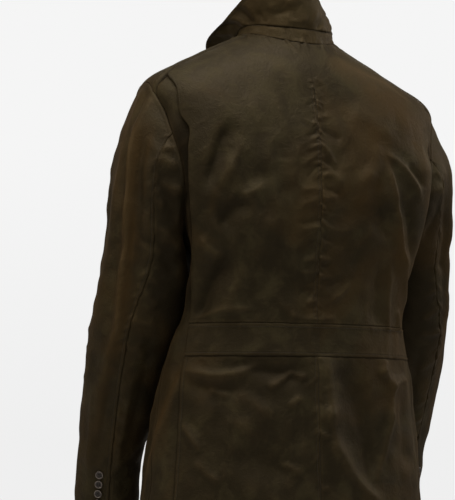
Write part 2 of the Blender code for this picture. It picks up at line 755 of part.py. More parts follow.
def sleeve_frame(share, side):
    """Centre, outward and backward half axes, inner fullness and way of the sleeve's sections."""
    places = np.linspace(0, 1, len(SLEEVE_RINGS))
    centre = sleeve_path(share, side)
    down = unit(sleeve_path(share + 0.01, side) - sleeve_path(share - 0.01, side))
    out = np.array([1.0, 0.0, 0.0]) - down[..., :1] * down
    out = unit(out)
    back = np.cross(out, down)
    wide = read_curve(places, column(SLEEVE_RINGS, "half_width"), share)[..., None]
    deep = read_curve(places, column(SLEEVE_RINGS, "half_depth"), share)[..., None]
    full = INNER_FULL * np.exp(-(((centre[..., 2:] - INNER_FULL_AT) / INNER_FULL_OVER) ** 2))
    return centre, out * wide, back * deep, out * full, down


def sleeve_surface(turns, side):
    """A sleeve: curved lines from the armhole to the first ring, then rings down the arm."""
    t = np.radians(turns)
    angle, height = armhole_place(turns % 360.0)
    mirror = np.array([side, 1.0, 1.0])
    hole = form(angle * side, height) * mirror
    share = np.linspace(0, 1, TUBE_ROWS + 1)
    centre, out, back, full, down = sleeve_frame(share, side)
    tube = (
        centre[:, None]
        - full[:, None] * np.maximum(-np.cos(t), 0.0)[None, :, None]
        + out[:, None] * np.cos(t)[None, :, None]
        + back[:, None] * np.sin(t)[None, :, None]
    )
    ring = tube[0]
    length = np.linalg.norm(ring - hole, axis=-1, keepdims=True)
    head = np.stack(
        [
            read_curve(column(SLEEVE_HEAD, "turn"), column(SLEEVE_HEAD, "out"), turns),
            read_curve(column(SLEEVE_HEAD, "turn"), column(SLEEVE_HEAD, "back"), turns),
            -read_curve(column(SLEEVE_HEAD, "turn"), column(SLEEVE_HEAD, "down"), turns),
        ],
        axis=-1,
    )
    leave = unit(head) * length
    arrive = down[0] * length
    s = np.linspace(0, 1, HEAD_ROWS + 1)[:-1, None, None]
    cap = (
        (1 + 2 * s) * (1 - s) ** 2 * hole
        + s * (1 - s) ** 2 * leave
        + s**2 * (3 - 2 * s) * ring
        + s**2 * (s - 1) * arrive
    )
    return np.concatenate([cap, tube], axis=0) * mirror


def sleeve_panels(side):
    """The top sleeve over the outside of the arm and the under sleeve inside it."""
    turns = armhole_turns()
    end = turns[0]
    under = turns[(turns >= BACK_SEAM_TURN - 0.01) & (turns <= FRONT_SEAM_TURN + 0.01)]
    over = turns[turns >= FRONT_SEAM_TURN - 0.01]
    wrapped = turns[(turns > end + 0.01) & (turns <= BACK_SEAM_TURN + 0.01)] + 360.0
    over = np.concatenate([over, wrapped])
    panels = {}
    for name, these in (("top_sleeve", over), ("under_sleeve", under)):
        grid = sleeve_surface(these, side)
        at_head = (1 - ease(np.arange(len(grid)) / HEAD_ROWS))[:, None]
        seam = FLAT_SEAM + (SLEEVE_HEAD_SEAM - FLAT_SEAM) * at_head
        grid = draw_in(grid, first=seam, last=seam, low=armhole_seam(these))
        panels[name] = grid
    return panels


# ---------------------------------------------------------------- collar
def collar_angles():
    half = np.concatenate([NECK_BACK, NECK_FRONT[1:]])
    return np.concatenate([-half[:0:-1], half])


def collar_lines():
    """The neck seam, the seam where the stand ends, and the outer edge of the turned-up fall."""
    angle = collar_angles()
    base = form(angle, np.zeros_like(angle))
    degrees = np.degrees(angle)
    places = column(COLLAR, "angle")
    height = read_curve(places, column(COLLAR, "stand_height"), degrees)
    middle = np.array([0.0, 0.005, 0.0])
    inward = unit((middle - base) * np.array([1.0, 1.0, 0.0]))
    seam = base + inward * STAND_LEAN + np.array([0.0, 0.0, 1.0]) * height[:, None]
    edge = np.stack([read_curve(places, column(COLLAR, "edge_" + name), degrees) for name in "xyz"], axis=-1)
    return base, seam, edge


def collar_stand():
    base, seam, _ = collar_lines()
    share = np.linspace(0, 1, 3)[:, None, None]
    grid = base + (seam - base) * share
    return draw_in(grid, low=NECK_SEAM, high=COLLAR_SEAM)


def collar_fall():
    """The fall carries on up from the stand and rolls out to its edge."""
    _, seam, edge = collar_lines()
    share = np.linspace(0, 1, 5)[:, None, None]
    up = np.array([0.0, 0.0, 1.0]) * np.linalg.norm(edge - seam, axis=-1, keepdims=True)
    grid = (
        (1 - share) ** 2 * seam
        + 2 * share * (1 - share) * (seam * 0.75 + edge * 0.25 + up * FALL_ROLL)
        + share**2 * edge
    )
    return draw_in(grid, low=TURNED_SEAM)


# ---------------------------------------------------------------- objects
def finish(name, colour, roughness, coat):
    material = bpy.data.materials.new(name)
    material.use_nodes = True
    shader = material.node_tree.nodes["Principled BSDF"]
    shader.inputs["Base Color"].default_value = colour
    shader.inputs["Roughness"].default_value = roughness
    shader.inputs["Coat Weight"].default_value = coat
    return material


def cloth(collection, name, grid, side=1.0, kept=None):
    """A panel of cloth: the grid as faces, given its wall by Solidify. kept leaves some faces out."""
    rows, columns = grid.shape[:2]
    index = np.arange(rows * columns).reshape(rows, columns)
    corners = (index[:-1, :-1], index[:-1, 1:], index[1:, 1:], index[1:, :-1])
    faces = np.stack(corners, axis=-1).reshape(-1, 4)
    if kept is not None:
        faces = faces[kept.ravel()]
    used, faces = np.unique(faces, return_inverse=True)
    faces = faces.reshape(-1, 4)
    if side < 0:
        faces = faces[:, ::-1]
    points = stand(grid.reshape(-1, 3)[used])
    mesh = bpy.data.meshes.new(name)
    mesh.from_pydata(points.tolist(), [], faces.tolist())
    piece = bpy.data.objects.new(name, mesh)
    mesh.materials.append(finish(name + "_waxed_cotton", OLIVE_BROWN, 0.42, 0.15))
    wall = piece.modifiers.new("Wall", "SOLIDIFY")
    wall.thickness = WALL
    wall.offset = 0.0
    wall.use_even_offset = True
    collection.objects.link(piece)
    return piece


def button(collection, name, diameter, place, out, up):
    """A turned disc with a raised rim and four sewing holes, its back on the cloth."""
    radius = diameter / 2
    thick = diameter * BUTTON_THICK
    rim = diameter * BUTTON_RIM
    bevel = thick * BUTTON_BEVEL
    well = thick * BUTTON_WELL
    profile = (
        (0.0, well),
        (radius - rim, well),
        (radius - rim / 2, thick),
        (radius - bevel, thick),
        (radius, thick - bevel),
        (radius, bevel),
        (radius - bevel, 0.0),
        (0.0, 0.0),
    )
    mesh = bpy.data.meshes.new(name)
    points = [(x, 0.0, z) for x, z in profile]
    mesh.from_pydata(points, [(i, i + 1) for i in range(len(points) - 1)], [])
    piece = bpy.data.objects.new(name, mesh)
    mesh.materials.append(finish(name + "_horn", HORN_BROWN, 0.25, 0.4))
    collection.objects.link(piece)
    turn = piece.modifiers.new("Turned", "SCREW")
    turn.axis = "Z"
    turn.angle = math.tau
    turn.steps = BUTTON_STEPS
    turn.render_steps = BUTTON_STEPS
    turn.use_merge_vertices = True
    turn.merge_threshold = 0.00001
    turn.use_normal_calculate = True
    hole = diameter * BUTTON_HOLE
    spread = diameter * BUTTON_HOLE_SPREAD
    cutters = []
    for number, (sx, sy) in enumerate(((1, 1), (-1, 1), (-1, -1), (1, -1))):
        ring = bpy.data.meshes.new(f"{name}_hole_{number}")
        turns = np.linspace(0, math.tau, 8, endpoint=False)
        low = [(sx * spread + hole * math.cos(a), sy * spread + hole * math.sin(a), -thick) for a in turns]
        high = [(x, y, 2 * thick) for x, y, _ in low]
        sides = [(i, (i + 1) % 8, 8 + (i + 1) % 8, 8 + i) for i in range(8)]
        ring.from_pydata(low + high, [], sides + [tuple(range(7, -1, -1)), tuple(range(8, 16))])
        cutter = bpy.data.objects.new(f"{name}_hole_{number}", ring)
        cutter.hide_render = True
        cutter.display_type = "WIRE"
        collection.objects.link(cutter)
        cut = piece.modifiers.new(f"Hole {number}", "BOOLEAN")
        cut.object = cutter
        cut.operation = "DIFFERENCE"
        cut.solver = "EXACT"
        cutters.append(cutter)
    out = unit(np.asarray(out, float))
    up = np.asarray(up, float)
    up = unit(up - out * (up @ out))
    right = np.cross(up, out)
    frame = np.eye(4)
    frame[:3, 0], frame[:3, 1], frame[:3, 2] = right, up, out
    frame[:3, 3] = place
    for each in [piece, *cutters]:
        each.matrix_world = Matrix(frame.tolist())
    return piece


def cuff_buttons(collection, side_name, side):
    """Four buttons up the outside of the cuff, beside the back seam."""
    columns = np.array([BACK_SEAM_TURN - CUFF_BUTTON_TURN, BACK_SEAM_TURN - CUFF_BUTTON_TURN + 1.0])
    surface = sleeve_surface(columns + 360.0, side)[HEAD_ROWS:, 0]
    beside = sleeve_surface(columns + 360.0, side)[HEAD_ROWS:, 1]
    lengths = np.concatenate([[0], np.cumsum(np.linalg.norm(np.diff(surface, axis=0), axis=-1))])
    for number in range(CUFF_BUTTON_COUNT):
        at = lengths[-1] - CUFF_BUTTON_FROM_HEM - number * CUFF_BUTTON_PITCH
        place = np.array([np.interp(at, lengths, surface[:, k]) for k in range(3)])
        ahead = np.array([np.interp(at + 0.004, lengths, surface[:, k]) for k in range(3)])
        next_to = np.array([np.interp(at, lengths, beside[:, k]) for k in range(3)])
        out = np.cross(next_to - place, ahead - place)
        out = unit(out * np.sign(out[0] * side))
        lift = WALL / 2 + SEAT + BUTTON_BED
        button(
            collection,
            f"cuff_button_{side_name}_{number + 1}",
            CUFF_BUTTON_DIAMETER,
            stand(place + out * lift),
            out,
            place - ahead,
        )


def front_buttons(collection):
    """Five buttons down the lapped fronts, seated on the upper front."""
    for number, height in enumerate(FRONT_BUTTON_HEIGHTS):
        levels = np.linspace(HEM, 0.0, 400)
        z = form(np.full(400, math.pi), levels)[:, 2]
        level = np.array([np.interp(height, z, levels)])
        lift = FRONT_PLY + WALL / 2 + SEAT
        place = on_form(np.array([math.pi]), level, np.array([lift]))[0]
        out = form_normal(np.array([math.pi]), level)[0]
        button(
            collection,
            f"front_button_{number + 1}",
            FRONT_BUTTON_DIAMETER,
            stand(place),
            out,
            (0.0, 0.0, 1.0),
        )


def build():
    for old in list(bpy.data.objects):
        bpy.data.objects.remove(old, do_unlink=True)
    jacket = bpy.data.collections.new("waxed_cotton_jacket")
    bpy.context.scene.collection.children.link(jacket)
    for side_name, side in SIDES.items():
        grid, kept = back_panel(side)
        cloth(jacket, "back_" + side_name, grid, side, kept)
        cloth(jacket, "side_" + side_name, side_panel(side), side)
        cloth(jacket, "front_" + side_name, front_panel(side), side)
        cloth(jacket, "skirt_back_" + side_name, skirt_panel(side), side)
        for name, grid in sleeve_panels(side).items():
            cloth(jacket, f"{name}_{side_name}", grid, side)
        cuff_buttons(jacket, side_name, side)
    cloth(jacket, "waist_band", waist_band())
    cloth(jacket, "collar_stand", collar_stand())
    cloth(jacket, "collar_fall", collar_fall())
    front_buttons(jacket)


build()
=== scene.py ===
"""Looks of the worn waxed cotton jacket: creased cloth, sewn seams, buttons, finishes and studio.

Metres, +Z up, front towards -Y, the wearer's left towards +X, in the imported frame. The cloth lies
on the same body form as its solids. A place on the form is an angle round it, 0 at the centre back
and a half turn at the centre front, with the height of its level at the side of the body. A crease
is placed by metres round the form and by Z. Each panel is a fine grid between its seam lines.
"""

import logging
import math
from dataclasses import dataclass
from enum import Enum
from typing import Any, NamedTuple, Sequence

import bpy
import numpy as np
from mathutils import Matrix, Vector


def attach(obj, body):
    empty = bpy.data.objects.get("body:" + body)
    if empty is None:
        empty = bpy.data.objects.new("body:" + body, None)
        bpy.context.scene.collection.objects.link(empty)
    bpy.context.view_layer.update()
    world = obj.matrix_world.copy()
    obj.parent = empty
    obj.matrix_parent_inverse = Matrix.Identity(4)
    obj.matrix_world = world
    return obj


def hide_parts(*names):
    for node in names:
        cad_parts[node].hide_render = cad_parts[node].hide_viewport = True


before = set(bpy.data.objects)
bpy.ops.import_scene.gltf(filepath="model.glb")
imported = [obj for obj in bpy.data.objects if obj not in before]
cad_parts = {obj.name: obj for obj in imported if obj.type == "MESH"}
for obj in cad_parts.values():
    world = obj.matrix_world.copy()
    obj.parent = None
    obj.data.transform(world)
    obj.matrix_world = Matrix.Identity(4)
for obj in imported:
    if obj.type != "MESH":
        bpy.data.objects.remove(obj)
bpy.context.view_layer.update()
LOG = logging.getLogger("jacket")

Array = np.ndarray

# ---------------------------------------------------------------- sizes shared with the solids
WALL = 0.0014
STEP = 1e-4
GIRTH_STEPS = 19
CORRECTIONS = 6
NEAR_ONE = 0.999
AHEAD = 0.01
HALF_TURN = 180.0
FULL_TURN = 360.0

HEM = -0.762
BAND_BOTTOM = -0.494
BAND_TOP = -0.446
BAND_PROUD = 0.0006
ARMPIT = -0.311

PLY_PITCH = 0.0030
PLY_PITCH_SEWN = 0.0018
PLY_OPENS_OVER = 0.050
PLEAT_STITCHED_TO = -0.150
LAP_UNDER_BAND = 0.0021
LAP_GATHERS_OVER = 0.022
PLEAT_DEPTH = 0.034
PLEAT_DEPTH_TOP = 0.010
PLEAT_DEEPENS_FROM = -0.130
PLEAT_DEEPENS_OVER = 0.090
PLEAT_BENDS_OVER = 0.015
PROUD_REACH = 0.055
SIDE_SETTLES_OVER = 0.030
SIDE_SETTLES_MOST = 0.65

FRONT_LAP = 0.020
FRONT_LAP_AT_NECK = 0.016
FRONT_PLY = 0.0017
FRONT_PLY_REACH = 0.050
FRONT_PLY_FLAT = 1.4

ARMHOLE_MIDDLE_Y = 0.010
ARMHOLE_MIDDLE_Z = -0.201
ARMHOLE_HALF_HEIGHT = 0.110
ARMHOLE_TO_BACK = 0.088
ARMHOLE_TO_FRONT = 0.086
ARMHOLE_SQUARE = 0.95
ARMHOLE_LEAN = 0.0115
SHOULDER_SEAM_Y = 0.055
SHOULDER_SEAM_SWEEP = 0.024
SWEEP_FROM = 0.35
SWEEP_OVER = 0.45
STRAIGHTENS_OVER = 0.25
HOLLOW_FROM_X = 0.080
HOLLOW_BLEND = 0.090
HOLLOW_STEEPNESS = 1.5
SHOULDER_DROP = 0.033

BACK_SEAM_TURN = 70.0
FRONT_SEAM_TURN = 262.0

NECK_POINT_ANGLE = math.radians(68.0)
COLLAR_END_ANGLE = 167.0
STAND_LEAN = 0.003
FALL_ROLL = 0.22

FRONT_BUTTON_HEIGHTS = (-0.150, -0.262, -0.374, -0.486, -0.598)


class Level(NamedTuple):
    """One section of the body form."""

    name: str
    z_side: float
    z_back: float
    z_front: float
    half_width: float
    y_side: float
    y_back: float
    y_front: float
    square_back: float
    square_front: float


LEVELS = (
    Level("hem", -0.762, -0.762, -0.777, 0.226, -0.006, 0.134, -0.162, 2.2, 2.3),
    Level("hip", -0.632, -0.632, -0.642, 0.213, -0.004, 0.128, -0.150, 2.2, 2.3),
    Level("band_bottom", -0.494, -0.494, -0.500, 0.199, 0.000, 0.121, -0.138, 2.2, 2.3),
    Level("band_top", -0.446, -0.446, -0.451, 0.193, 0.000, 0.119, -0.134, 2.2, 2.3),
    Level("rib", -0.390, -0.390, -0.396, 0.191, 0.000, 0.122, -0.132, 2.5, 2.4),
    Level("armpit", -0.311, -0.312, -0.322, 0.198, 0.000, 0.134, -0.132, 3.1, 2.6),
    Level("blade", -0.215, -0.226, -0.250, 0.214, 0.000, 0.139, -0.128, 3.6, 2.6),
    Level("upper", -0.140, -0.165, -0.195, 0.226, 0.004, 0.132, -0.119, 3.2, 2.5),
    Level("tip", -0.086, -0.112, -0.152, 0.228, 0.008, 0.119, -0.107, 2.6, 2.3),
    Level("mid", -0.043, -0.064, -0.120, 0.155, 0.010, 0.106, -0.093, 2.2, 2.2),
    Level("neck", 0.000, -0.018, -0.085, 0.0755, 0.005, 0.080, -0.070, 2.0, 2.0),
)


class ArmHollow(NamedTuple):
    """Where each hanging arm presses the side of the body in."""

    z: float
    depth_left: float
    depth_right: float
    y_left: float
    y_right: float
    half_length: float


ARM_HOLLOWS = (
    ArmHollow(-0.680, 0.000, 0.000, -0.120, -0.100, 0.070),
    ArmHollow(-0.630, 0.003, 0.003, -0.115, -0.080, 0.070),
    ArmHollow(-0.550, 0.016, 0.018, -0.078, -0.056, 0.075),
    ArmHollow(-0.460, 0.030, 0.033, -0.053, -0.042, 0.082),
    ArmHollow(-0.400, 0.035, 0.037, -0.038, -0.032, 0.085),
    ArmHollow(-0.345, 0.041, 0.041, -0.022, -0.020, 0.085),
    ArmHollow(-0.311, 0.024, 0.024, -0.005, -0.005, 0.080),
    ArmHollow(-0.250, 0.000, 0.000, 0.000, 0.000, 0.080),
)


class PleatEdge(NamedTuple):
    """The side-back line: how far back it lies, and how far its fold stands off on each side."""

    z: float
    y: float
    proud_left: float
    proud_right: float


PLEAT_EDGES = (
    PleatEdge(-0.762, 0.060, 0.000, 0.000),
    PleatEdge(-0.594, 0.054, 0.000, 0.000),
    PleatEdge(-0.494, 0.054, 0.000, 0.000),
    PleatEdge(-0.446, 0.054, 0.000, 0.000),
    PleatEdge(-0.386, 0.066, 0.004, 0.003),
    PleatEdge(-0.320, 0.086, 0.008, 0.009),
    PleatEdge(-0.270, 0.096, 0.008, 0.010),
    PleatEdge(-0.200, 0.103, 0.004, 0.009),
    PleatEdge(-0.168, 0.102, 0.001, 0.003),
    PleatEdge(-0.146, 0.090, 0.000, 0.000),
    PleatEdge(-0.126, 0.087, 0.000, 0.000),
    PleatEdge(-0.104, 0.079, 0.000, 0.000),
    PleatEdge(-0.080, 0.054, 0.000, 0.000),
)


class SleeveRing(NamedTuple):
    """One section of a sleeve below the armpit: its place, forward for each arm, and its size."""

    name: str
    x: float
    y_left: float
    y_right: float
    z: float
    half_width: float
    half_depth: float


SLEEVE_RINGS = (
    SleeveRing("biceps", 0.2210, -0.018, -0.018, -0.345, 0.0610, 0.072),
    SleeveRing("above_elbow", 0.2265, -0.036, -0.030, -0.405, 0.0610, 0.069),
    SleeveRing("elbow", 0.2300, -0.056, -0.044, -0.462, 0.0600, 0.066),
    SleeveRing("forearm", 0.2350, -0.096, -0.078, -0.551, 0.0535, 0.059),
    SleeveRing("above_cuff", 0.2380, -0.128, -0.102, -0.630, 0.0465, 0.051),
    SleeveRing("cuff", 0.2340, -0.160, -0.126, -0.742, 0.0470, 0.050),
)


class HeadLine(NamedTuple):
    """The way the sleeve sets out from the armhole at one turn, 0 at the top and 90 at the back."""

    turn: float
    out: float
    back: float
    down: float


SLEEVE_HEAD = (
    HeadLine(-90.0, 0.80, -0.15, 0.58),
    HeadLine(-45.0, 0.62, -0.12, 0.77),
    HeadLine(0.0, 0.50, 0.00, 0.87),
    HeadLine(45.0, 0.62, 0.10, 0.78),
    HeadLine(90.0, 0.78, 0.06, 0.62),
    HeadLine(135.0, 0.40, -0.03, 0.92),
    HeadLine(180.0, 0.42, 0.00, 0.91),
    HeadLine(225.0, 0.42, 0.05, 0.90),
    HeadLine(270.0, 0.80, -0.15, 0.58),
    HeadLine(315.0, 0.62, -0.12, 0.77),
    HeadLine(360.0, 0.50, 0.00, 0.87),
    HeadLine(405.0, 0.62, 0.10, 0.78),
    HeadLine(450.0, 0.78, 0.06, 0.62),
)


class CollarSection(NamedTuple):
    """The turned-up collar at one angle round the neck, the wearer's left positive."""

    angle: float
    stand_height: float
    edge_x: float
    edge_y: float
    edge_z: float


COLLAR = (
    CollarSection(-167.0, 0.014, -0.044, -0.104, -0.040),
    CollarSection(-130.0, 0.014, -0.076, -0.062, -0.004),
    CollarSection(-90.0, 0.014, -0.069, 0.000, 0.034),
    CollarSection(-45.0, 0.019, -0.041, 0.052, 0.052),
    CollarSection(0.0, 0.023, 0.008, 0.084, 0.070),
    CollarSection(45.0, 0.018, 0.070, 0.056, 0.062),
    CollarSection(90.0, 0.013, 0.094, -0.012, 0.026),
    CollarSection(130.0, 0.013, 0.104, -0.064, -0.004),
    CollarSection(167.0, 0.013, 0.060, -0.110, -0.044),
)


class Side(Enum):
    """The wearer's side, its value the sign of X there."""

    LEFT = 1.0
    RIGHT = -1.0

    @property
    def word(self) -> str:
        """The side's name in piece names."""
        return self.name.lower()


# ---------------------------------------------------------------- curves and rounding
def ease(t: Any) -> Array:
    """Smooth step from 0 to 1: 3 t squared less 2 t cubed, held outside."""
    t = np.clip(t, 0.0, 1.0)
    return t * t * (3 - 2 * t)


def bell(t: Any) -> Array:
    """The bell exp(-t squared)."""
    return np.exp(-np.square(t))


def unit(vectors: Array, least: float = 1e-12) -> Array:
    """Vectors brought to length one; their length counts as no less than the least."""
    return vectors / np.maximum(np.linalg.norm(vectors, axis=-1, keepdims=True), least)


def column(table: Sequence[Any], name: str) -> list[float]:
    """One named column of a table."""
    return [getattr(row, name) for row in table]


def read_curve(places: Sequence[float], values: Any, at: Any) -> Array:
    """A smooth cubic curve through the values, its slope at each place the mean of its two chords.

    Args:
        places: Where the values stand, rising.
        values: One number, or one row of numbers, for each place.
        at: Where to read the curve; it is held beyond its ends.

    Returns:
        The curve's value, or row of values, at each of those places.
    """
    places = np.asarray(places, float)
    values = np.asarray(values, float)
    rows = values.reshape(len(places), -1)
    chord = np.diff(rows, axis=0) / np.diff(places)[:, None]
    slope = np.concatenate([chord[:1], (chord[1:] + chord[:-1]) / 2, chord[-1:]])
    at = np.clip(np.asarray(at, float), places[0], places[-1])
    k = np.clip(np.searchsorted(places, at) - 1, 0, len(places) - 2)
    span = (places[k + 1] - places[k])[..., None]
    t = (at - places[k])[..., None] / span
    start = (1 + 2 * t) * (1 - t) ** 2 * rows[k] + t * (1 - t) ** 2 * span * slope[k]
    end = t**2 * (3 - 2 * t) * rows[k + 1] + t**2 * (t - 1) * span * slope[k + 1]
    read = start + end
    return read[..., 0] if values.ndim == 1 else read


def seam_spacing(width: float, step: float, first: bool = True, last: bool = True) -> Array:
    """Shares from 0 to 1 across a panel: close beside a seam and its stitching, then evenly spaced.

    Args:
        width: The panel's width in metres.
        step: The even spacing in metres.
        first: Whether the first edge is sewn.
        last: Whether the last edge is sewn.

    Returns:
        The rising shares of the width.
    """
    near = np.array(SEAM_DETAIL)
    low = near if first else np.zeros(1)
    high = width - (near[::-1] if last else np.zeros(1))
    count = max(int(round((high[0] - low[-1]) / step)), 2)
    middle = np.linspace(low[-1], high[0], count + 1)[1:-1]
    return np.concatenate([low, middle, high]) / width


SEAM_DETAIL = (0.0, 0.0005, 0.0011, 0.0019, 0.0030, 0.0044, 0.0053, 0.0060, 0.0067, 0.0078, 0.0098)


def stand(points: Array) -> Array:
    """The wearer's stance: Z rises with X above the waist, so that the right shoulder is lower."""
    points = points.copy()
    above = ease((points[..., 2] - BAND_BOTTOM) / (ARMPIT / 2 - BAND_BOTTOM))
    points[..., 2] += SHOULDER_DROP * points[..., 0] * above
    return points


@dataclass(frozen=True)
class Ripple:
    """Seeded unevenness: a sum of cosine waves in all directions, its spread about one."""

    seed: int
    wavelength: float
    waves: int = 14
    stretch_v: float = 1.0
    rates: tuple[float, float] = (0.65, 1.5)

    def at(self, u: Array, v: Array) -> Array:
        """Read it.

        Args:
            u: Metres across.
            v: Metres along.

        Returns:
            The sum of the waves, scaled by the root of half their number.
        """
        rng = np.random.default_rng(self.seed)
        way = rng.uniform(0, math.tau, self.waves)
        rate = math.tau / self.wavelength * rng.uniform(*self.rates, self.waves)
        phase = rng.uniform(0, math.tau, self.waves)
        total = np.zeros(np.broadcast(u, v).shape)
        for a, k, p in zip(way, rate, phase):
            total += np.cos(k * (math.cos(a) * u + math.sin(a) * v / self.stretch_v) + p)
        return total / math.sqrt(self.waves / 2)


# ---------------------------------------------------------------- the body form
class BodyForm:
    """The hollow form that the cloth lies on: squared ovals, pressed in beside the arms."""

    def level(self, height: Array) -> dict[str, Array]:
        """The form's sizes at a level, by name."""
        read = read_curve(column(LEVELS, "z_side"), [row[2:] for row in LEVELS], height)
        return {name: read[..., k] for k, name in enumerate(Level._fields[2:])}

    def _half(self, level: dict[str, Array], back: Array) -> tuple[Array, Array, Array]:
        """The reach, the squareness and the end's height of the back half or the front half."""
        reach = np.where(
            back, level["y_back"] - level["y_side"], level["y_side"] - level["y_front"]
        )
        power = np.where(back, level["square_back"], level["square_front"])
        return reach, power, np.where(back, level["z_back"], level["z_front"])

    def _hollow(self, x: Array, y: Array, z: Array) -> Array:
        """How far the arm presses in: its depth at Z, times exp(-1.5 (y / reach)^4)."""
        read = read_curve(column(ARM_HOLLOWS, "z"), [row[1:] for row in ARM_HOLLOWS], z)
        deep_left, deep_right, left, right, reach = np.moveaxis(read, -1, 0)
        inner = ease((np.abs(x) - HOLLOW_FROM_X) / HOLLOW_BLEND)
        off = (y - np.where(x > 0, left, right)) / reach
        depth = np.where(x > 0, deep_left, deep_right)
        return np.maximum(depth, 0.0) * inner * np.exp(-(off**4) * HOLLOW_STEEPNESS)

    def points(self, angle: Any, height: Any) -> Array:
        """Points of the form: r = (|cos|^n + |sin|^n)^(-1/n), scaled to each level's half axes."""
        angle, height = np.broadcast_arrays(np.asarray(angle, float), np.asarray(height, float))
        level = self.level(height)
        c, s = np.cos(angle), np.sin(angle)
        reach, power, end_z = self._half(level, c >= 0)
        r = (np.abs(c) ** power + np.abs(s) ** power) ** (-1 / power)
        x = level["half_width"] * r * s
        y = level["y_side"] + reach * r * c
        z = height + (end_z - height) * c**2
        return np.stack([x - np.sign(x) * self._hollow(x, y, z), y, z], axis=-1)

    def rates(self, angle: Any, height: Any) -> tuple[Array, Array]:
        """How far the points move for each radian of angle and for each metre of level."""
        by_angle = self.points(angle + STEP, height) - self.points(angle - STEP, height)
        by_height = self.points(angle, height + STEP) - self.points(angle, height - STEP)
        return by_angle / (2 * STEP), by_height / (2 * STEP)

    def normals(self, angle: Any, height: Any) -> Array:
        """Outward unit normals, across the two ways the form runs."""
        by_angle, by_height = self.rates(angle, height)
        return unit(np.cross(by_height, by_angle))

    def moved_out(self, angle: Array, height: Array, out: Any) -> Array:
        """Points of the form moved out along its normals."""
        out = np.broadcast_to(out, np.broadcast(angle, height).shape)
        return self.points(angle, height) + self.normals(angle, height) * out[..., None]

    def round_rate(self, angle: Array, height: Array) -> Array:
        """Metres round the form for each radian of angle."""
        return np.linalg.norm(self.rates(angle, height)[0], axis=-1)

    def angle_at(self, y: Any, z: Any) -> tuple[Array, Array]:
        """The angle and level at which the form's left side passes through a Y and a Z.

        Args:
            y: Metres back from the origin.
            z: Metres up.

        Returns:
            The angle and the level's height, found by rounds of correction.
        """
        y = np.asarray(y, float)
        height = np.asarray(z, float)
        angle = np.zeros_like(height)
        for _ in range(CORRECTIONS):
            level = self.level(height)
            reach, power, end_z = self._half(level, y >= level["y_side"])
            v = np.clip((y - level["y_side"]) / reach, -NEAR_ONE, NEAR_ONE)
            angle = np.arctan2((1 - np.abs(v) ** power) ** (1 / power), v)
            height = (z - end_z * np.cos(angle) ** 2) / np.sin(angle) ** 2
            height = np.clip(height, HEM, 0.0)
        return angle, height

    def girth(self, angle: Array, height: Array) -> Array:
        """Metres round the form from the centre back, left positive: a sum of chords."""
        size = np.abs(angle)
        steps = np.linspace(0.0, 1.0, GIRTH_STEPS)
        path = self.points(size[..., None] * steps, np.broadcast_to(height, size.shape)[..., None])
        return np.sign(angle) * np.linalg.norm(np.diff(path, axis=-2), axis=-1).sum(axis=-1)


FORM = BodyForm()


# ---------------------------------------------------------------- seam lines
def armhole_y(turns: Array) -> Array:
    """How far back the armhole lies: an oval whose back edge leans forward at its top."""
    t = np.radians(turns)
    across = np.sin(t)
    reach = np.where(across > 0, ARMHOLE_TO_BACK, ARMHOLE_TO_FRONT)
    lean = ARMHOLE_LEAN * np.maximum(across, 0.0) * (1 + np.sin(2 * t))
    return ARMHOLE_MIDDLE_Y + reach * np.sign(across) * np.abs(across) ** ARMHOLE_SQUARE - lean


def shoulder_end(near: float = 2.0, far: float = 60.0, steps: int = 200) -> float:
    """The turn of the armhole, between near and far, where the shoulder seam meets it."""
    turns = np.linspace(near, far, steps)
    return float(np.interp(SHOULDER_SEAM_Y, armhole_y(turns), turns))


SHOULDER_END = shoulder_end()


def armhole_place(turns: Array) -> tuple[Array, Array]:
    """Angle and level of the armhole, an oval seen from the side, at turns from its top."""
    z = ARMHOLE_MIDDLE_Z + ARMHOLE_HALF_HEIGHT * np.cos(np.radians(turns))
    return FORM.angle_at(armhole_y(turns), z)


def side_seam_angle(height: Array) -> Array:
    """The angle of the side seam, straight down from the armhole's lowest point."""
    return FORM.angle_at(np.full_like(height, ARMHOLE_MIDDLE_Y), height)[0]


def pleat_edge(z: Array) -> tuple[Array, Array]:
    """Angle and level of the side-back line at a height."""
    y = read_curve(column(PLEAT_EDGES, "z"), column(PLEAT_EDGES, "y"), z)
    return FORM.angle_at(y, z)


def shoulder_line(share: Array) -> tuple[Array, Array]:
    """Angle and level of the shoulder seam, from the neck point out to the armhole."""
    _, end_height = armhole_place(np.array([SHOULDER_END]))
    height = end_height[0] * share
    level = FORM.level(height)
    y = SHOULDER_SEAM_Y - SHOULDER_SEAM_SWEEP * (1 - ease((share - SWEEP_FROM) / SWEEP_OVER))
    v = np.clip((y - level["y_side"]) / (level["y_back"] - level["y_side"]), 0, NEAR_ONE)
    power = level["square_back"]
    straight = np.arctan2((1 - v**power) ** (1 / power), v)
    outer = ease(share / STRAIGHTENS_OVER)
    return NECK_POINT_ANGLE + (straight - NECK_POINT_ANGLE) * outer, height


def pleat_share(near: float = 0.5, far: float = 1.0, steps: int = 200) -> float:
    """How far out along the shoulder seam, between near and far, the pleat line starts."""
    shares = np.linspace(near, far, steps)
    _, heights = shoulder_line(shares)
    _, top = pleat_edge(np.array([PLEAT_EDGES[-1].z]))
    return float(np.interp(-top[0], -heights, shares))


PLEAT_SHARE = pleat_share()


class EdgeLine(NamedTuple):
    """A line on the form, with how far angle and level change for a metre square to it."""

    angle: Array
    height: Array
    angle_rate: Array
    height_rate: Array

    def beside(self, along: Array) -> tuple[Array, Array]:
        """Angle and level at metres square to each place of the line, one row for each."""
        angle = self.angle[:, None] + along * self.angle_rate[:, None]
        return angle, self.height[:, None] + along * self.height_rate[:, None]


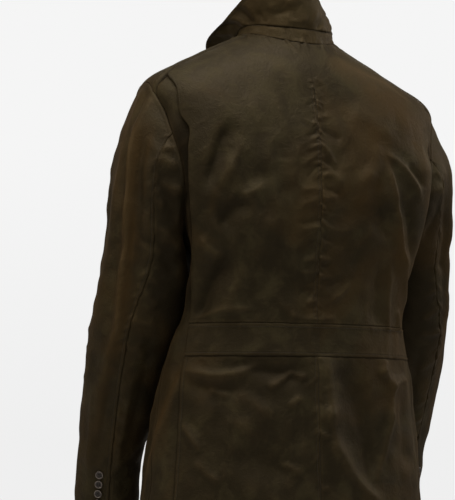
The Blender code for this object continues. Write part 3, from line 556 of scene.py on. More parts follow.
def with_rates(angle: Array, height: Array) -> EdgeLine:
    """Add to a line's angles and levels how they change for a metre square to it."""
    points = FORM.points(angle, height)
    square = unit(np.cross(FORM.normals(angle, height), np.gradient(points, axis=0)))
    by_angle, by_height = FORM.rates(angle, height)
    aa = (by_angle**2).sum(-1)
    hh = (by_height**2).sum(-1)
    ah = (by_angle * by_height).sum(-1)
    da = (square * by_angle).sum(-1)
    dh = (square * by_height).sum(-1)
    det = aa * hh - ah**2
    return EdgeLine(angle, height, (da * hh - dh * ah) / det, (dh * aa - da * ah) / det)


def side_back_line(z: Array) -> tuple[Array, Array]:
    """Angle and level of the side-back line; its last bit bends onto the shoulder seam."""
    angle, height = pleat_edge(z)
    seam = shoulder_line(np.array([PLEAT_SHARE]))
    last = pleat_edge(np.array([PLEAT_EDGES[-1].z]))
    near = ease(1 - (PLEAT_EDGES[-1].z - z) / PLEAT_BENDS_OVER)
    return angle + near * (seam[0][0] - last[0][0]), height + near * (seam[1][0] - last[1][0])


def coons(start: Array, end: Array, low: Array, high: Array, r: Array, c: Array) -> Array:
    """Places between four seam lines: both straight blends less the blend of the corners.

    Args:
        start: Angle and level down the first column, one row for each r.
        end: The same down the last column.
        low: Angle and level along the lowest row, one row for each c.
        high: The same along the highest row.
        r: Rising shares up the panel.
        c: Rising shares across it.

    Returns:
        Angle and level for each r and c.
    """
    r = r[:, None, None]
    c = c[None, :, None]
    across = (1 - c) * start[:, None] + c * end[:, None]
    along = (1 - r) * low[None] + r * high[None]
    corners = (1 - r) * ((1 - c) * low[0] + c * low[-1]) + r * ((1 - c) * high[0] + c * high[-1])
    return across + along - corners


def ply_pitch(z: Array) -> Array:
    """Distance between the pleat's layers: close where it is sewn, open between."""
    low = ease((z - BAND_TOP) / PLY_OPENS_OVER)
    high = ease((PLEAT_STITCHED_TO - z) / PLY_OPENS_OVER)
    return PLY_PITCH_SEWN + (PLY_PITCH - PLY_PITCH_SEWN) * low * high


def lap_depth(z: Array) -> Array:
    """How far the pleat folds under the back."""
    deeper = ease((PLEAT_DEEPENS_FROM - z) / PLEAT_DEEPENS_OVER)
    return PLEAT_DEPTH_TOP + (PLEAT_DEPTH - PLEAT_DEPTH_TOP) * deeper


def proud(z: Array, side: Side) -> Array:
    """How far the pleat's folded edge stands off the body."""
    values = column(PLEAT_EDGES, "proud_" + side.word)
    return np.maximum(read_curve(column(PLEAT_EDGES, "z"), values, z), 0.0)


# ---------------------------------------------------------------- creases
class Crease(NamedTuple):
    """One soft ridge (rise above 0) or trough (below), in millimetres on its piece's chart.

    across and up give each end. bow pushes its middle sideways, and skew makes one flank steeper.
    """

    across_from: float
    up_from: float
    across_to: float
    up_to: float
    half_width: float
    rise: float
    bow: float = 0.0
    skew: float = 0.0


MM = 0.001

# A crease no wider than this has a sharper crest; each end fades at the rate along its length.
NARROW_CREASE = 9.5
SHARP_CREST = 1.35
ROUND_CREST = 1.7
FADE_RATE = 2.6


def creases(*rows: Sequence[float]) -> tuple[Crease, ...]:
    """A table of creases, each row's numbers in the order of a crease's fields."""
    return tuple(Crease(*row) for row in rows)


def crease_rise(table: Sequence[Crease], across: Array, up: Array) -> Array:
    """The rise of all the creases: each a bell across its bowed line that fades to both ends.

    Args:
        table: The creases, in millimetres.
        across: Metres across the chart.
        up: Metres up the chart.

    Returns:
        Their sum in metres: rise exp(-|off / width|^power) times an eased fade along the line, the
        power lower for narrow creases, whose crests are sharper.
    """
    total = np.zeros(np.broadcast(across, up).shape)
    for crease in table:
        run = np.array([crease.across_to - crease.across_from, crease.up_to - crease.up_from]) * MM
        length = float(np.hypot(*run))
        run = run / length
        du = across - crease.across_from * MM
        dv = up - crease.up_from * MM
        t = (du * run[0] + dv * run[1]) / length
        inside = np.clip(t, 0, 1)
        off = -du * run[1] + dv * run[0] - crease.bow * MM * 4 * inside * (1 - inside)
        width = crease.half_width * MM * (1 + crease.skew * np.sign(off))
        power = SHARP_CREST if crease.half_width < NARROW_CREASE else ROUND_CREST
        fade = ease(0.5 + t * FADE_RATE) * ease(0.5 + (1 - t) * FADE_RATE)
        total += crease.rise * MM * np.exp(-np.abs(off / width) ** power) * fade
    return total


# across: millimetres round from the centre back, the wearer's left positive; up: Z.
BACK_CREASES = creases(
    (135, -190, 105, -250, 26, -3.4), (143, -166, 174, -250, 12, -5.4, 4, -0.3),
    (124, -190, 154, -252, 10, 2.8), (92, -246, 126, -264, 7, 1.4, -4, -0.3),
    (116, -276, 152, -306, 15, -5.0, 4), (84, -292, 96, -352, 22, 2.0),
    (176, -326, 148, -352, 8, 3.4, 3), (140, -356, 178, -440, 14, -5.6, 5, -0.2),
    (112, -364, 136, -430, 13, 2.6), (180, -437, 104, -427, 6, 2.6, -4),
    (60, -415, 30, -436, 9, 1.2), (-75, -215, -118, -262, 20, 3.0),
    (-112, -204, -134, -288, 7, 4.4, 0, 0.35), (-132, -276, -154, -350, 7, 3.8, 0, 0.35),
    (-150, -338, -184, -412, 8, 3.6), (-92, -222, -112, -310, 14, -3.4),
    (-115, -186, -172, -243, 6, 3.4, -5), (-150, -200, -178, -226, 8, -2.6),
    (-150, -262, -172, -336, 10, -3.4), (-126, -352, -134, -450, 8, 3.0, 2),
    (-104, -356, -108, -440, 13, -2.6), (-160, -420, -164, -452, 6, 2.2),
    (-60, -330, -88, -300, 10, 1.4), (60, -120, 110, -140, 22, 1.2),
    (-60, -125, -120, -150, 24, 1.4),
)

# Puffs and dents that the tight centre-back seam draws up, left of it and then right of it.
CENTRE_CREASES = creases(
    (2, -116, 15, -122, 3.2, -1.3), (3, -150, 18, -146, 3.4, 1.5), (3, -163, 22, -172, 4.0, -2.0),
    (2, -181, 20, -190, 3.0, 2.0), (4, -198, 30, -216, 5.0, 3.2, 2), (3, -212, 22, -232, 4.0, -2.4),
    (5, -247, 32, -252, 5.5, 3.0), (4, -266, 34, -277, 7.0, 3.6, 3),
    (4, -292, 34, -300, 6.0, -3.2, -3), (3, -303, 26, -310, 4.0, 2.4),
    (3, -322, 18, -331, 3.4, -1.8), (4, -350, 24, -354, 4.6, 3.0),
    (4, -368, 26, -371, 5.0, 2.8, -2), (4, -382, 20, -390, 3.6, -2.4),
    (4, -398, 28, -402, 6.0, -3.0, 3), (2, -420, 16, -415, 3.4, 1.6),
    (5, -439, 44, -433, 4.6, 3.4, -2), (-3, -78, -16, -84, 4.0, 1.4),
    (-2, -92, -12, -90, 3.0, -1.2), (-2, -108, -14, -104, 3.4, 1.4),
    (-2, -124, -14, -130, 3.2, -1.7), (-2, -138, -20, -136, 3.6, 2.0),
    (-6, -158, -34, -170, 9.0, -4.4, 2), (-2, -182, -22, -208, 4.2, 3.4, -2),
    (-2, -202, -26, -222, 3.4, -2.2), (-6, -222, -32, -236, 8.5, 4.2, -3),
    (-3, -246, -28, -254, 4.0, -2.8), (-3, -262, -24, -258, 4.4, 3.0),
    (-3, -276, -16, -284, 3.0, -1.8), (-5, -300, -48, -306, 9.0, 4.4, 5, -0.3),
    (-4, -318, -36, -330, 6.0, -3.2, 3), (-3, -330, -22, -326, 3.6, 2.4),
    (-3, -346, -14, -352, 3.2, 1.8), (-3, -362, -18, -358, 3.4, -2.0),
    (-3, -372, -16, -378, 3.0, 1.8), (-24, -410, -52, -386, 5.5, 3.8, 2),
    (-16, -392, -40, -378, 5.0, -2.2), (-2, -426, -12, -430, 3.0, -1.4),
    (-4, -439, -28, -436, 4.4, 3.0),
)

BAND_CREASES = creases(
    (190, -458, 176, -480, 5, 1.0), (172, -456, 186, -470, 4, -0.9), (14, -448, 6, -492, 6, 1.0),
    (-6, -450, -2, -490, 5, -0.9), (-132, -448, -128, -494, 6, 1.5),
    (-160, -450, -152, -492, 6, 1.3), (-146, -450, -140, -492, 6, -1.1),
    (96, -462, 60, -470, 7, 0.7), (-60, -474, -96, -468, 7, 0.7),
)

SKIRT_CREASES = creases(
    (194, -514, 96, -508, 8, 4.0, 11, 0.35), (186, -534, 120, -544, 12, -3.6, 4),
    (116, -508, 26, -520, 13, -4.6, 3), (72, -540, 42, -519, 4.5, 3.2, 0, -0.2),
    (44, -517, 20, -525, 4.5, 3.2), (90, -560, 118, -604, 26, 3.4), (120, -628, 52, -668, 26, -3.6),
    (58, -650, 30, -664, 4.5, 2.4), (162, -544, 136, -552, 6, 2.6), (204, -596, 180, -630, 5, 2.8),
    (196, -586, 176, -606, 5, -1.2), (184, -650, 152, -678, 7, 2.4),
    (-10, -498, -17, -590, 14, 4.8, -2), (-15, -572, -28, -640, 13, 4.4),
    (-24, -628, -100, -712, 13, 5.0, 4), (-56, -528, -92, -676, 25, -6.4, -3),
    (-126, -498, -112, -520, 7, 2.6), (-116, -510, -140, -540, 6, 3.0),
    (-138, -524, -130, -590, 7, 3.8), (-132, -580, -96, -676, 7, 3.4, -3),
    (-142, -536, -178, -526, 5, 2.6, -4), (-160, -550, -164, -650, 12, -2.4),
    (28, -554, 46, -567, 4.5, 2.2), (6, -603, -14, -613, 4.5, 2.4),
)

SIDE_CREASES = creases(
    (232, -450, 286, -600, 15, 5.6, 2), (206, -516, 250, -604, 10, 4.4, -2),
    (246, -598, 286, -672, 12, 4.4), (216, -600, 238, -680, 12, -2.8),
    (286, -672, 300, -750, 14, 3.0), (262, -560, 300, -640, 12, -3.0),
    (-206, -516, -236, -600, 10, 3.4), (-236, -596, -262, -690, 12, 3.2),
    (-222, -620, -232, -720, 12, -2.4), (214, -470, 250, -440, 7, 1.5),
    (-214, -470, -246, -438, 7, 1.5),
)

# across: millimetres round from the centre front, the wearer's left positive; up: Z.
FRONT_CREASES = creases(
    (216, -300, 120, -262, 9, 3.0, 6), (214, -322, 96, -318, 10, 2.8, 8),
    (200, -346, 110, -372, 9, 2.6, 4), (150, -200, 70, -172, 12, 2.2, -5),
    (176, -150, 120, -120, 11, -1.8), (122, -404, 30, -380, 10, 2.2, 5),
    (150, -430, 40, -452, 9, 2.0, 4), (182, -470, 150, -620, 12, 4.0, 5),
    (112, -500, 96, -700, 18, 3.6, -6), (64, -520, 58, -740, 16, -3.6, 4),
    (150, -600, 170, -748, 15, -3.2), (30, -384, 14, -362, 6, 1.4), (34, -496, 12, -480, 6, 1.4),
    (30, -276, 12, -256, 6, 1.3), (-214, -296, -128, -250, 9, 2.8, -6),
    (-216, -326, -104, -330, 10, 2.8, -8), (-196, -352, -100, -384, 9, 2.4, -4),
    (-142, -190, -64, -166, 12, 2.0, 5), (-172, -146, -116, -122, 11, -1.8),
    (-126, -396, -40, -408, 10, 2.2, -5), (-160, -440, -50, -462, 9, 1.8, -4),
    (-178, -478, -140, -640, 12, 3.8, -5), (-104, -520, -100, -720, 18, 3.4, 6),
    (-56, -540, -66, -740, 16, -3.4, -4), (-150, -610, -162, -748, 15, -3.0),
)


# Where the wax has darkened (rise below 0) or clouded (above), with painted shade and painted
# highlight laid the same way on folds, crests and edges, and where it has rubbed russet, which also
# paints highlight along lit crests and edges; the rise is in thousandths here. Body: millimetres
# round from the centre back; sleeves: degrees.
BODY_WAX_AND_PAINTED_LIGHT = creases(
    (-188, -150, -201, -300, 5, 1.5), (-201, -290, -180, -440, 5, 1.4),
    (210, -200, 240, -420, 26, -0.9), (150, -70, -150, -80, 70, 0.42),
    (60, -130, 130, -160, 36, 0.30), (84, -236, 60, -300, 14, 0.7), (30, -196, 62, -214, 12, 0.5),
    (66, -380, 90, -416, 15, 0.6), (124, -400, 112, -440, 9, 0.5), (-40, -196, -70, -232, 14, 0.7),
    (-30, -330, -48, -372, 12, 0.6), (-96, -380, -84, -430, 13, 0.6),
    (-60, -268, -40, -286, 9, -0.6), (144, -172, 170, -246, 13, -0.9),
    (136, -268, 152, -306, 16, -0.9), (142, -352, 178, -438, 15, -0.9),
    (104, -250, 122, -264, 7, 0.35), (170, -334, 152, -350, 7, 0.6), (160, -434, 110, -428, 7, 0.6),
    (40, -230, 56, -420, 34, -0.25), (-12, -162, -30, -172, 9, -0.7),
    (-10, -226, -28, -236, 9, 0.5), (-12, -302, -44, -312, 9, 0.7), (-28, -408, -50, -388, 6, 0.6),
    (-70, -240, -96, -330, 22, -0.4), (-160, -256, -176, -330, 9, -0.5),
    (188, -512, 96, -512, 6, 0.35, 9), (118, -508, 28, -524, 12, -0.9, 3),
    (186, -534, 130, -540, 9, -0.7), (-44, -528, -92, -676, 22, -0.6),
    (-14, -500, -20, -610, 9, 0.5), (-24, -624, -98, -706, 9, 0.5),
    (-138, -524, -128, -600, 5, 0.6), (150, -600, 30, -720, 60, -0.30),
    (204, -440, 204, -500, 20, -0.3), (230, -250, 250, -420, 30, -0.8),
    (232, -430, 292, -750, 44, -0.6), (196, -540, 196, -760, 12, -0.5),
    (180, -540, 40, -560, 46, -0.3), (188, -470, 20, -470, 22, -0.3),
    (-96, -170, -126, -300, 44, 0.35), (-60, -400, -150, -440, 40, 0.3),
    (-56, -42, -94, -56, 8, 0.9), (-88, -54, -146, -67, 6, 1.6), (-138, -65, -182, -94, 5, 1.5),
    (-30, -36, -130, -84, 26, 0.6),
)

# Russet rubs, partly worn wax and partly painted highlight along lit crests and fold edges.
BODY_RUSSET = creases(
    (-184, -170, -200, -300, 7, 1.0), (-200, -300, -178, -440, 7, 0.9),
    (-138, -290, -172, -440, 15, 0.9), (-112, -208, -150, -340, 6, 0.6),
    (-168, -150, -186, -250, 9, 0.6), (-36, -40, -120, -90, 30, 0.9),
    (-130, -86, -190, -150, 20, 1.1), (-60, -150, -120, -190, 34, 0.4),
    (70, -60, 130, -110, 40, -0.8), (60, -330, 96, -420, 50, -0.8), (90, -600, 60, -700, 60, -0.6),
    (160, -250, 170, -300, 10, 0.5), (-150, -446, -160, -494, 12, 0.7),
    (-10, -450, -4, -490, 7, 0.5), (212, -520, 284, -664, 8, 0.9), (214, -620, 250, -750, 20, 0.4),
    (-146, -540, -170, -700, 22, 0.6), (-20, -560, -24, -620, 12, 0.3),
    (-214, -520, -260, -690, 14, 0.8), (420, -500, 400, -740, 26, 0.4),
    (-420, -500, -400, -740, 26, 0.4),
)

# Sleeve wax tones: painted highlight along the lit crest lines, painted shade on the side towards
# the body.
SLEEVE_WAX_AND_PAINTED_LIGHT = creases(
    (24, -150, 30, -440, 22, 0.45), (32, -176, 38, -310, 2.4, 1.6), (38, -296, 40, -372, 1.9, 1.9),
    (39, -356, 50, -452, 1.9, 1.9), (50, -436, 43, -520, 4, 0.9), (47, -196, 50, -340, 6, -1.1),
    (52, -340, 62, -450, 6, -1.0), (57, -460, 50, -560, 7, -0.7), (84, -254, 112, -262, 6, 0.6),
    (112, -220, 130, -420, 30, -0.8), (98, -240, 118, -620, 26, -0.9),
    (118, -170, 122, -460, 20, -1.2), (100, -300, 96, -420, 16, -0.6),
    (80, -236, 112, -300, 13, -0.8), (76, -218, 100, -227, 6, 0.8), (14, -120, 20, -220, 12, 0.3),
    (56, -200, 60, -330, 9, -0.5), (58, -328, 88, -336, 5, -0.5), (44, -520, 52, -700, 20, -0.4),
    (200, -300, 180, -640, 40, -0.4),
)

# Russet rubs, partly worn wax and partly painted highlight along the sleeve's lit crest line.
SLEEVE_RUSSET = creases(
    (34, -180, 46, -400, 16, 0.5), (31, -176, 38, -330, 7, 1.3), (38, -310, 50, -460, 7, 1.3),
    (50, -440, 42, -600, 8, 0.9), (2, -110, 4, -420, 7, 0.5), (58, -180, 62, -300, 4, 0.5),
    (-4, -420, 10, -700, 10, 0.4), (74, -500, 78, -650, 6, 0.4),
)


# Between which shares of its named size each puff's own is drawn, and how it starts and ends.
PUFF_PLACES = (0.1, 0.9)
PUFF_REACHES = (0.5, 1.3)
PUFF_WIDTHS = (0.7, 1.4)
PUFF_SLANTS = (-0.2, 1.4)
PUFF_RISES = (0.35, 1.25)
PUFF_STARTS_OVER = 0.2
PUFF_AT_SEAM = 0.15
PUFF_ENDS_AT = 1.25


class Puckers(NamedTuple):
    """Short slanting puffs that a tight seam draws up beside it."""

    seed: int
    low: float
    high: float
    spacing: float
    reach: float
    half_width: float
    rise: float
    slant: float = 0.7

    def rise_at(self, along: Array, away: Array) -> Array:
        """The puffs' rise: each a slanting bell on one side of the seam, highest near it.

        Each puff's place, reach, width, slant and rise are drawn about the named sizes.

        Args:
            along: Metres along the seam.
            away: Metres from the seam, with the sign of the side.

        Returns:
            Their sum in metres.
        """
        rng = np.random.default_rng(self.seed)
        total = np.zeros(np.broadcast(along, away).shape)
        count = int((self.high - self.low) / self.spacing)
        for k in range(count):
            at = self.low + (k + rng.uniform(*PUFF_PLACES)) * self.spacing
            side = 1.0 if rng.uniform() < 0.5 else -1.0
            reach = self.reach * rng.uniform(*PUFF_REACHES)
            width = self.half_width * rng.uniform(*PUFF_WIDTHS)
            slant = self.slant * rng.uniform(*PUFF_SLANTS)
            rise = self.rise * rng.uniform(*PUFF_RISES)
            far = away * side / reach
            ends = ease(far / PUFF_STARTS_OVER + PUFF_AT_SEAM) * ease(PUFF_ENDS_AT - far)
            total += rise * bell((along - at + slant * np.abs(away)) / width) * ends
        return total


CENTRE_PUCKERS = (
    Puckers(11, -0.440, -0.080, 0.0060, 0.009, 0.0020, 0.0016),
    Puckers(12, -0.430, -0.100, 0.0095, 0.019, 0.0032, 0.0018, slant=0.9),
    Puckers(13, -0.700, -0.500, 0.0170, 0.020, 0.0036, 0.0014),
)

BAND_PUCKERS = (
    Puckers(16, -0.20, 0.20, 0.0130, 0.012, 0.0024, 0.0010, slant=0.6),
    Puckers(17, -0.20, 0.20, 0.0170, 0.016, 0.0032, 0.0011, slant=0.8),
)

NECK_PUCKERS = (
    Puckers(14, -0.16, 0.16, 0.0065, 0.012, 0.0022, 0.0013, slant=0.4),
    Puckers(15, -0.16, 0.16, 0.0130, 0.020, 0.0040, 0.0013, slant=0.6),
)


@dataclass(frozen=True)
class BodyDrape:
    """Everything that lifts the body's cloth off its smooth form, the same on every panel."""

    boldness: float = 1.7
    seam_boldness: float = 0.76
    front_boldness: float = 1.7
    seam_fade: float = 0.010
    skirt_starts: float = 0.6
    centre_reach: float = 0.10
    half_girth_at: float = -0.4
    front_reach: float = 0.32
    front_fades_from: float = 0.24
    front_fades_over: float = 0.04
    button_flat: tuple[float, float] = (0.026, 0.018)
    band_reach: float = 0.20
    band_fade: float = 0.02
    neck_seam: float = 0.0015
    neck_reach: float = 0.03
    neck_half: float = 0.16
    neck_fade: float = 0.01
    crumple: float = 0.00042
    ruck: float = 0.00050
    waves: tuple[Ripple, Ripple] = (Ripple(21, 0.090), Ripple(22, 0.042))
    long_share: float = 1.6
    rucks: Ripple = Ripple(23, 0.060, stretch_v=1.5)
    band_calm: float = 0.75
    band_calm_over: float = 0.030
    shoulder_calm: float = 0.8
    shoulder_from: float = -0.19
    shoulder_over: float = 0.09

    def out(self, angle: Array, height: Array) -> tuple[Array, Array, Array]:
        """The rise at places on the form.

        Args:
            angle: Signed angles round the form.
            height: Levels.

        Returns:
            The rise in metres, and the chart's metres round and Z.
        """
        round_back = FORM.girth(angle, height)
        z = FORM.points(angle, height)[..., 2]
        front = FORM.girth(np.full(height.shape, math.pi), height)
        round_front = np.sign(angle) * (front - np.abs(round_back))
        rise = self._creases(round_back, round_front, z) + self._puckers(round_back, height, z)
        across, up = self.button_flat
        for button_z in FRONT_BUTTON_HEIGHTS:
            rise = rise * (1 - bell((z - button_z) / up) * bell(round_front / across))
        return rise + self._crumples(round_back, z), round_back, z

    def _creases(self, round_back: Array, round_front: Array, z: Array) -> Array:
        """The rise of the placed creases: each table's sum, held to its own part of the body."""
        half = FORM.girth(np.full(1, math.pi), np.full(1, self.half_girth_at))[0]
        above = self.boldness * ease((z - BAND_TOP) / self.seam_fade + 1)
        below = self.boldness * ease((BAND_BOTTOM - z) / self.seam_fade + self.skirt_starts)
        centre = self.seam_boldness * (np.abs(round_back) < self.centre_reach)
        to_side = ease((self.front_fades_from - np.abs(round_front)) / self.front_fades_over)
        front = self.front_boldness * to_side * (np.abs(round_back) > half - self.front_reach)
        return (
            crease_rise(BACK_CREASES, round_back, z) * above
            + crease_rise(CENTRE_CREASES, round_back, z) * centre
            + crease_rise(BAND_CREASES, round_back, z)
            + crease_rise(SKIRT_CREASES, round_back, z) * below
            + crease_rise(SIDE_CREASES, round_back, z)
            + crease_rise(FRONT_CREASES, round_front, z) * front
        )

    def _puckers(self, round_back: Array, height: Array, z: Array) -> Array:
        """The rise of the puffs beside the centre seam, the band's seams and the neck seam."""
        rise = sum(puckers.rise_at(z, round_back) for puckers in CENTRE_PUCKERS)
        by_band = ease((self.band_reach - np.abs(round_back)) / self.band_fade)
        for puckers, seam_z in zip(BAND_PUCKERS, (BAND_TOP, BAND_BOTTOM)):
            rise = rise + puckers.rise_at(round_back, z - seam_z) * by_band
        below_neck = self.neck_seam - height
        by_neck = ease((self.neck_reach - below_neck) / self.neck_fade)
        by_neck = by_neck * (np.abs(round_back) < self.neck_half)
        for puckers in NECK_PUCKERS:
            rise = rise + puckers.rise_at(round_back, below_neck) * by_neck
        return rise

    def _crumples(self, round_back: Array, z: Array) -> Array:
        """Seeded waves and rucks, calm on the band and the shoulders."""
        on_band = (z - (BAND_TOP + BAND_BOTTOM) / 2) / self.band_calm_over
        on_shoulder = ease((z - self.shoulder_from) / self.shoulder_over)
        lively = (1 - self.band_calm * bell(on_band)) * (1 - self.shoulder_calm * on_shoulder)
        long_wave, short_wave = (wave.at(round_back, z) for wave in self.waves)
        ruck = np.maximum(1 - np.abs(self.rucks.at(round_back, z)), 0.0) ** 2
        waves = long_wave * self.long_share + short_wave
        return lively * (self.crumple * waves + self.ruck * ruck)


DRAPE = BodyDrape()


# ---------------------------------------------------------------- sewn edges
@dataclass(frozen=True)
class SewnEdge:
    """How a panel ends at a seam: it rolls under, its allowance lifts it, its stitches dip it, and
    painted shade darkens its groove and its stitch dips.
    """

    roll: float = 0.0011
    roll_width: float = 0.0013
    lift: float = 0.0
    lift_to: float = 0.0060
    lift_ends_over: float = 0.0016
    stitch_rows: tuple[float, ...] = ()
    dip: float = 0.00035
    dip_width: float = 0.0009
    # Painted shade along the stitch dips and, by darkness and width, in the seam's rolled groove.
    dip_darkness: float = 0.3
    rubbed_at: float = 0.0030
    rubbed_width: float = 0.0014
    grime_width: float = 0.0014
    darkness: float = 0.8

    def out(self, away: Array) -> Array:
        """The rise at distances from the seam.

        Args:
            away: Metres in from the seam.

        Returns:
            Metres out: -roll (1 - d / width)^2, plus the lift up to its stitches, less the dips.
        """
        rolled = -self.roll * np.clip(1 - away / self.roll_width, 0, 1) ** 2
        lift_ends = ease(1 - (away - self.lift_to) / self.lift_ends_over)
        rise = rolled + self.lift * ease(away / self.roll_width) * lift_ends
        for row in self.stitch_rows:
            rise = rise - self.dip * bell((away - row) / self.dip_width)
        return rise


PLAIN_EDGE = SewnEdge()
STRIP_EDGE = SewnEdge(roll=0.0006)
FAINT_EDGE = SewnEdge(roll=0.0009, darkness=0.4)
SLEEVE_SEAM = SewnEdge(
    roll=0.0009, lift=0.0004, lift_to=0.0052, stitch_rows=(0.0053,), darkness=0.4
)
SLEEVE_HEM = SewnEdge(roll=0.0004, roll_width=0.0016, stitch_rows=(0.0060,))
SLEEVE_HEAD_EDGE = SewnEdge(roll=0.0010, lift=0.0009, lift_to=0.0060)
LAPPED_EDGE = SewnEdge(lift=0.0004, lift_to=0.0062, stitch_rows=(0.0055,), darkness=0.6)
FREE_EDGE = SewnEdge(roll=0.0004, roll_width=0.0016, stitch_rows=(0.0055,))
LAPPED_CENTRE = SewnEdge(
    roll=0.0007, lift=0.0003, lift_to=0.0050, stitch_rows=(0.0015, 0.0055), dip=0.00028,
    darkness=0.25,
)
PLAIN_CENTRE = SewnEdge(roll=0.0006, darkness=0.15)
NO_EDGE = SewnEdge(roll=0.0)
SEAM_RUB = 0.8
MOST_DRAWN_IN = 0.8


class EdgeWays(NamedTuple):
    """Metres in from each edge of a grid, measured along its rows and columns."""

    first: Array
    last: Array
    low: Array
    high: Array


def edge_ways(points: Array) -> EdgeWays:
    """Measure the distances in from the four edges of a grid of points."""
    across = np.linalg.norm(np.diff(points, axis=1), axis=-1)
    up = np.linalg.norm(np.diff(points, axis=0), axis=-1)
    first = np.concatenate([np.zeros((len(points), 1)), np.cumsum(across, axis=1)], axis=1)
    low = np.concatenate([np.zeros((1, points.shape[1])), np.cumsum(up, axis=0)], axis=0)
    return EdgeWays(first, first[:, -1:] - first, low, low[-1:] - low)


def grid_normals(points: Array, side: float) -> Array:
    """Unit normals of a grid, from its central differences, turned outwards on either side."""
    return unit(np.cross(np.gradient(points, axis=1), np.gradient(points, axis=0))) * side


@dataclass
class Panel:
    """A worked-out piece of cloth: its grid of points, its chart, and at each point its wear,
    painted highlight and painted shade.
    """

    node: str
    points: Array
    chart: Array
    side: float
    wear: Array
    grime: Array
    cut: tuple[float, float]
    share_of_cut: float
    hangs_from: tuple[str, ...]
    wall: float = WALL
    tone: Any = 0.0
    russet: Any = 0.0
    added_rows: int = 0
    lip_rows: int = 0
    fold_column: int = 0

    @property
    def name(self) -> str:
        """The name of its object."""
        return self.node + "_cloth"

    def normals(self) -> Array:
        """Outward normals of the panel."""
        return grid_normals(self.points, self.side)


def sewn(
    points: Array,
    side: float,
    first: SewnEdge = NO_EDGE,
    last: SewnEdge = NO_EDGE,
    low: SewnEdge = NO_EDGE,
    high: SewnEdge = NO_EDGE,
) -> tuple[Array, Array, Array]:
    """Shape a grid's edges as its seams do.

    Args:
        points: The grid.
        side: The sign that turns its normals outwards.
        first: The seam down its first column.
        last: The seam down its last column.
        low: The seam along its lowest row.
        high: The seam along its highest row.

    Returns:
        The shaped grid, how rubbed it is beside its seams, and its painted shade in their grooves
        and stitch dips.
    """
    ways = edge_ways(points)
    out = np.zeros(points.shape[:2])
    rubbed = np.zeros(points.shape[:2])
    grime = np.zeros(points.shape[:2])
    for edge, way in zip((first, last, low, high), ways):
        if edge is NO_EDGE:
            continue
        out = out + edge.out(way)
        rubbed = np.maximum(rubbed, bell((way - edge.rubbed_at) / edge.rubbed_width))
        # Painted shade in the rolled seam's groove and along the stitch dips.
        if edge.roll > FREE_EDGE.roll:
            grime = np.maximum(grime, edge.darkness * bell(way / edge.grime_width))
        for row in edge.stitch_rows:
            grime = np.maximum(grime, edge.dip_darkness * bell((way - row) / edge.dip_width))
    return points + grid_normals(points, side) * out[..., None], rubbed, grime


def draw_in(
    points: Array, first: Any = 0.0, last: Any = 0.0, low: Any = 0.0, high: Any = 0.0
) -> Array:
    """Pull a grid's outermost lines in along the cloth, so that it stops short of its seams."""
    points = points.copy()
    for edge, beside, by in (
        ((slice(None), 0), (slice(None), 1), first),
        ((slice(None), -1), (slice(None), -2), last),
        ((0,), (1,), low),
        ((-1,), (-2,), high),
    ):
        gap = np.asarray(by, float)
        way = points[beside] - points[edge]
        length = np.linalg.norm(way, axis=-1, keepdims=True)
        gap = np.minimum(gap[..., None] if gap.ndim else gap, MOST_DRAWN_IN * length)
        points[edge] = points[edge] + gap * unit(way)
    return points


def dyed(panel: Panel) -> Panel:
    """Give a panel of the body its wax tones with painted shade and highlight, and its russet rubs,
    partly painted highlight.
    """
    across, up = panel.chart[..., 0], panel.chart[..., 1]
    panel.tone = crease_rise(BODY_WAX_AND_PAINTED_LIGHT, across, up) / MM
    panel.russet = crease_rise(BODY_RUSSET, across, up) / MM
    return panel


def worn(rubbed: Array, out: Array, sharpness: float = 900.0, rounds: int = 10) -> Array:
    """How worn a panel is, from 0 to 1: rubbed beside its seams, and on its crests.

    Args:
        rubbed: How rubbed it is beside its seams.
        out: Its creases' rise.
        sharpness: The wear for each metre that a crest stands above its surroundings.
        rounds: How many times the rise is averaged with its four neighbours to find them.

    Returns:
        The greater of the two at each point.
    """
    around = out.copy()
    for _ in range(rounds):
        wide = np.pad(around, 1, mode="edge")
        around = (wide[:-2, 1:-1] + wide[2:, 1:-1] + wide[1:-1, :-2] + wide[1:-1, 2:]) / 4
    return np.maximum(rubbed * SEAM_RUB, np.clip((out - around) * sharpness, 0.0, 1.0))


def with_allowance(panel: Panel, from_row: int = 3) -> Panel:
    """Carry a panel's lowest row on as a seam allowance behind the piece that it is sewn to.

    Args:
        panel: The piece.
        from_row: The row from which the way across its seam is taken.

    Returns:
        The same piece with the added rows.
    """
    low = panel.points[0]
    way = unit(low - panel.points[from_row])
    normal = panel.normals()[0]
    rows = [low + way * reach - normal * deep for reach, deep in ALLOWANCE]
    panel.points = np.concatenate([np.stack(rows), panel.points])
    panel.added_rows = len(rows)
    for name in ("chart", "wear", "grime"):
        values = getattr(panel, name)
        setattr(panel, name, np.concatenate([np.repeat(values[:1], len(rows), axis=0), values]))
    return panel


# Metres back from a seam and metres inwards of each added row.
ALLOWANCE = ((0.0070, 0.0030), (0.0035, 0.0026), (0.0008, 0.0016))

# How far pieces stop short of their seams, and how far the back halves run into one another.
GAP = 0.00012
ARMHOLE_GAP = 0.0006
MEETS = 0.00030


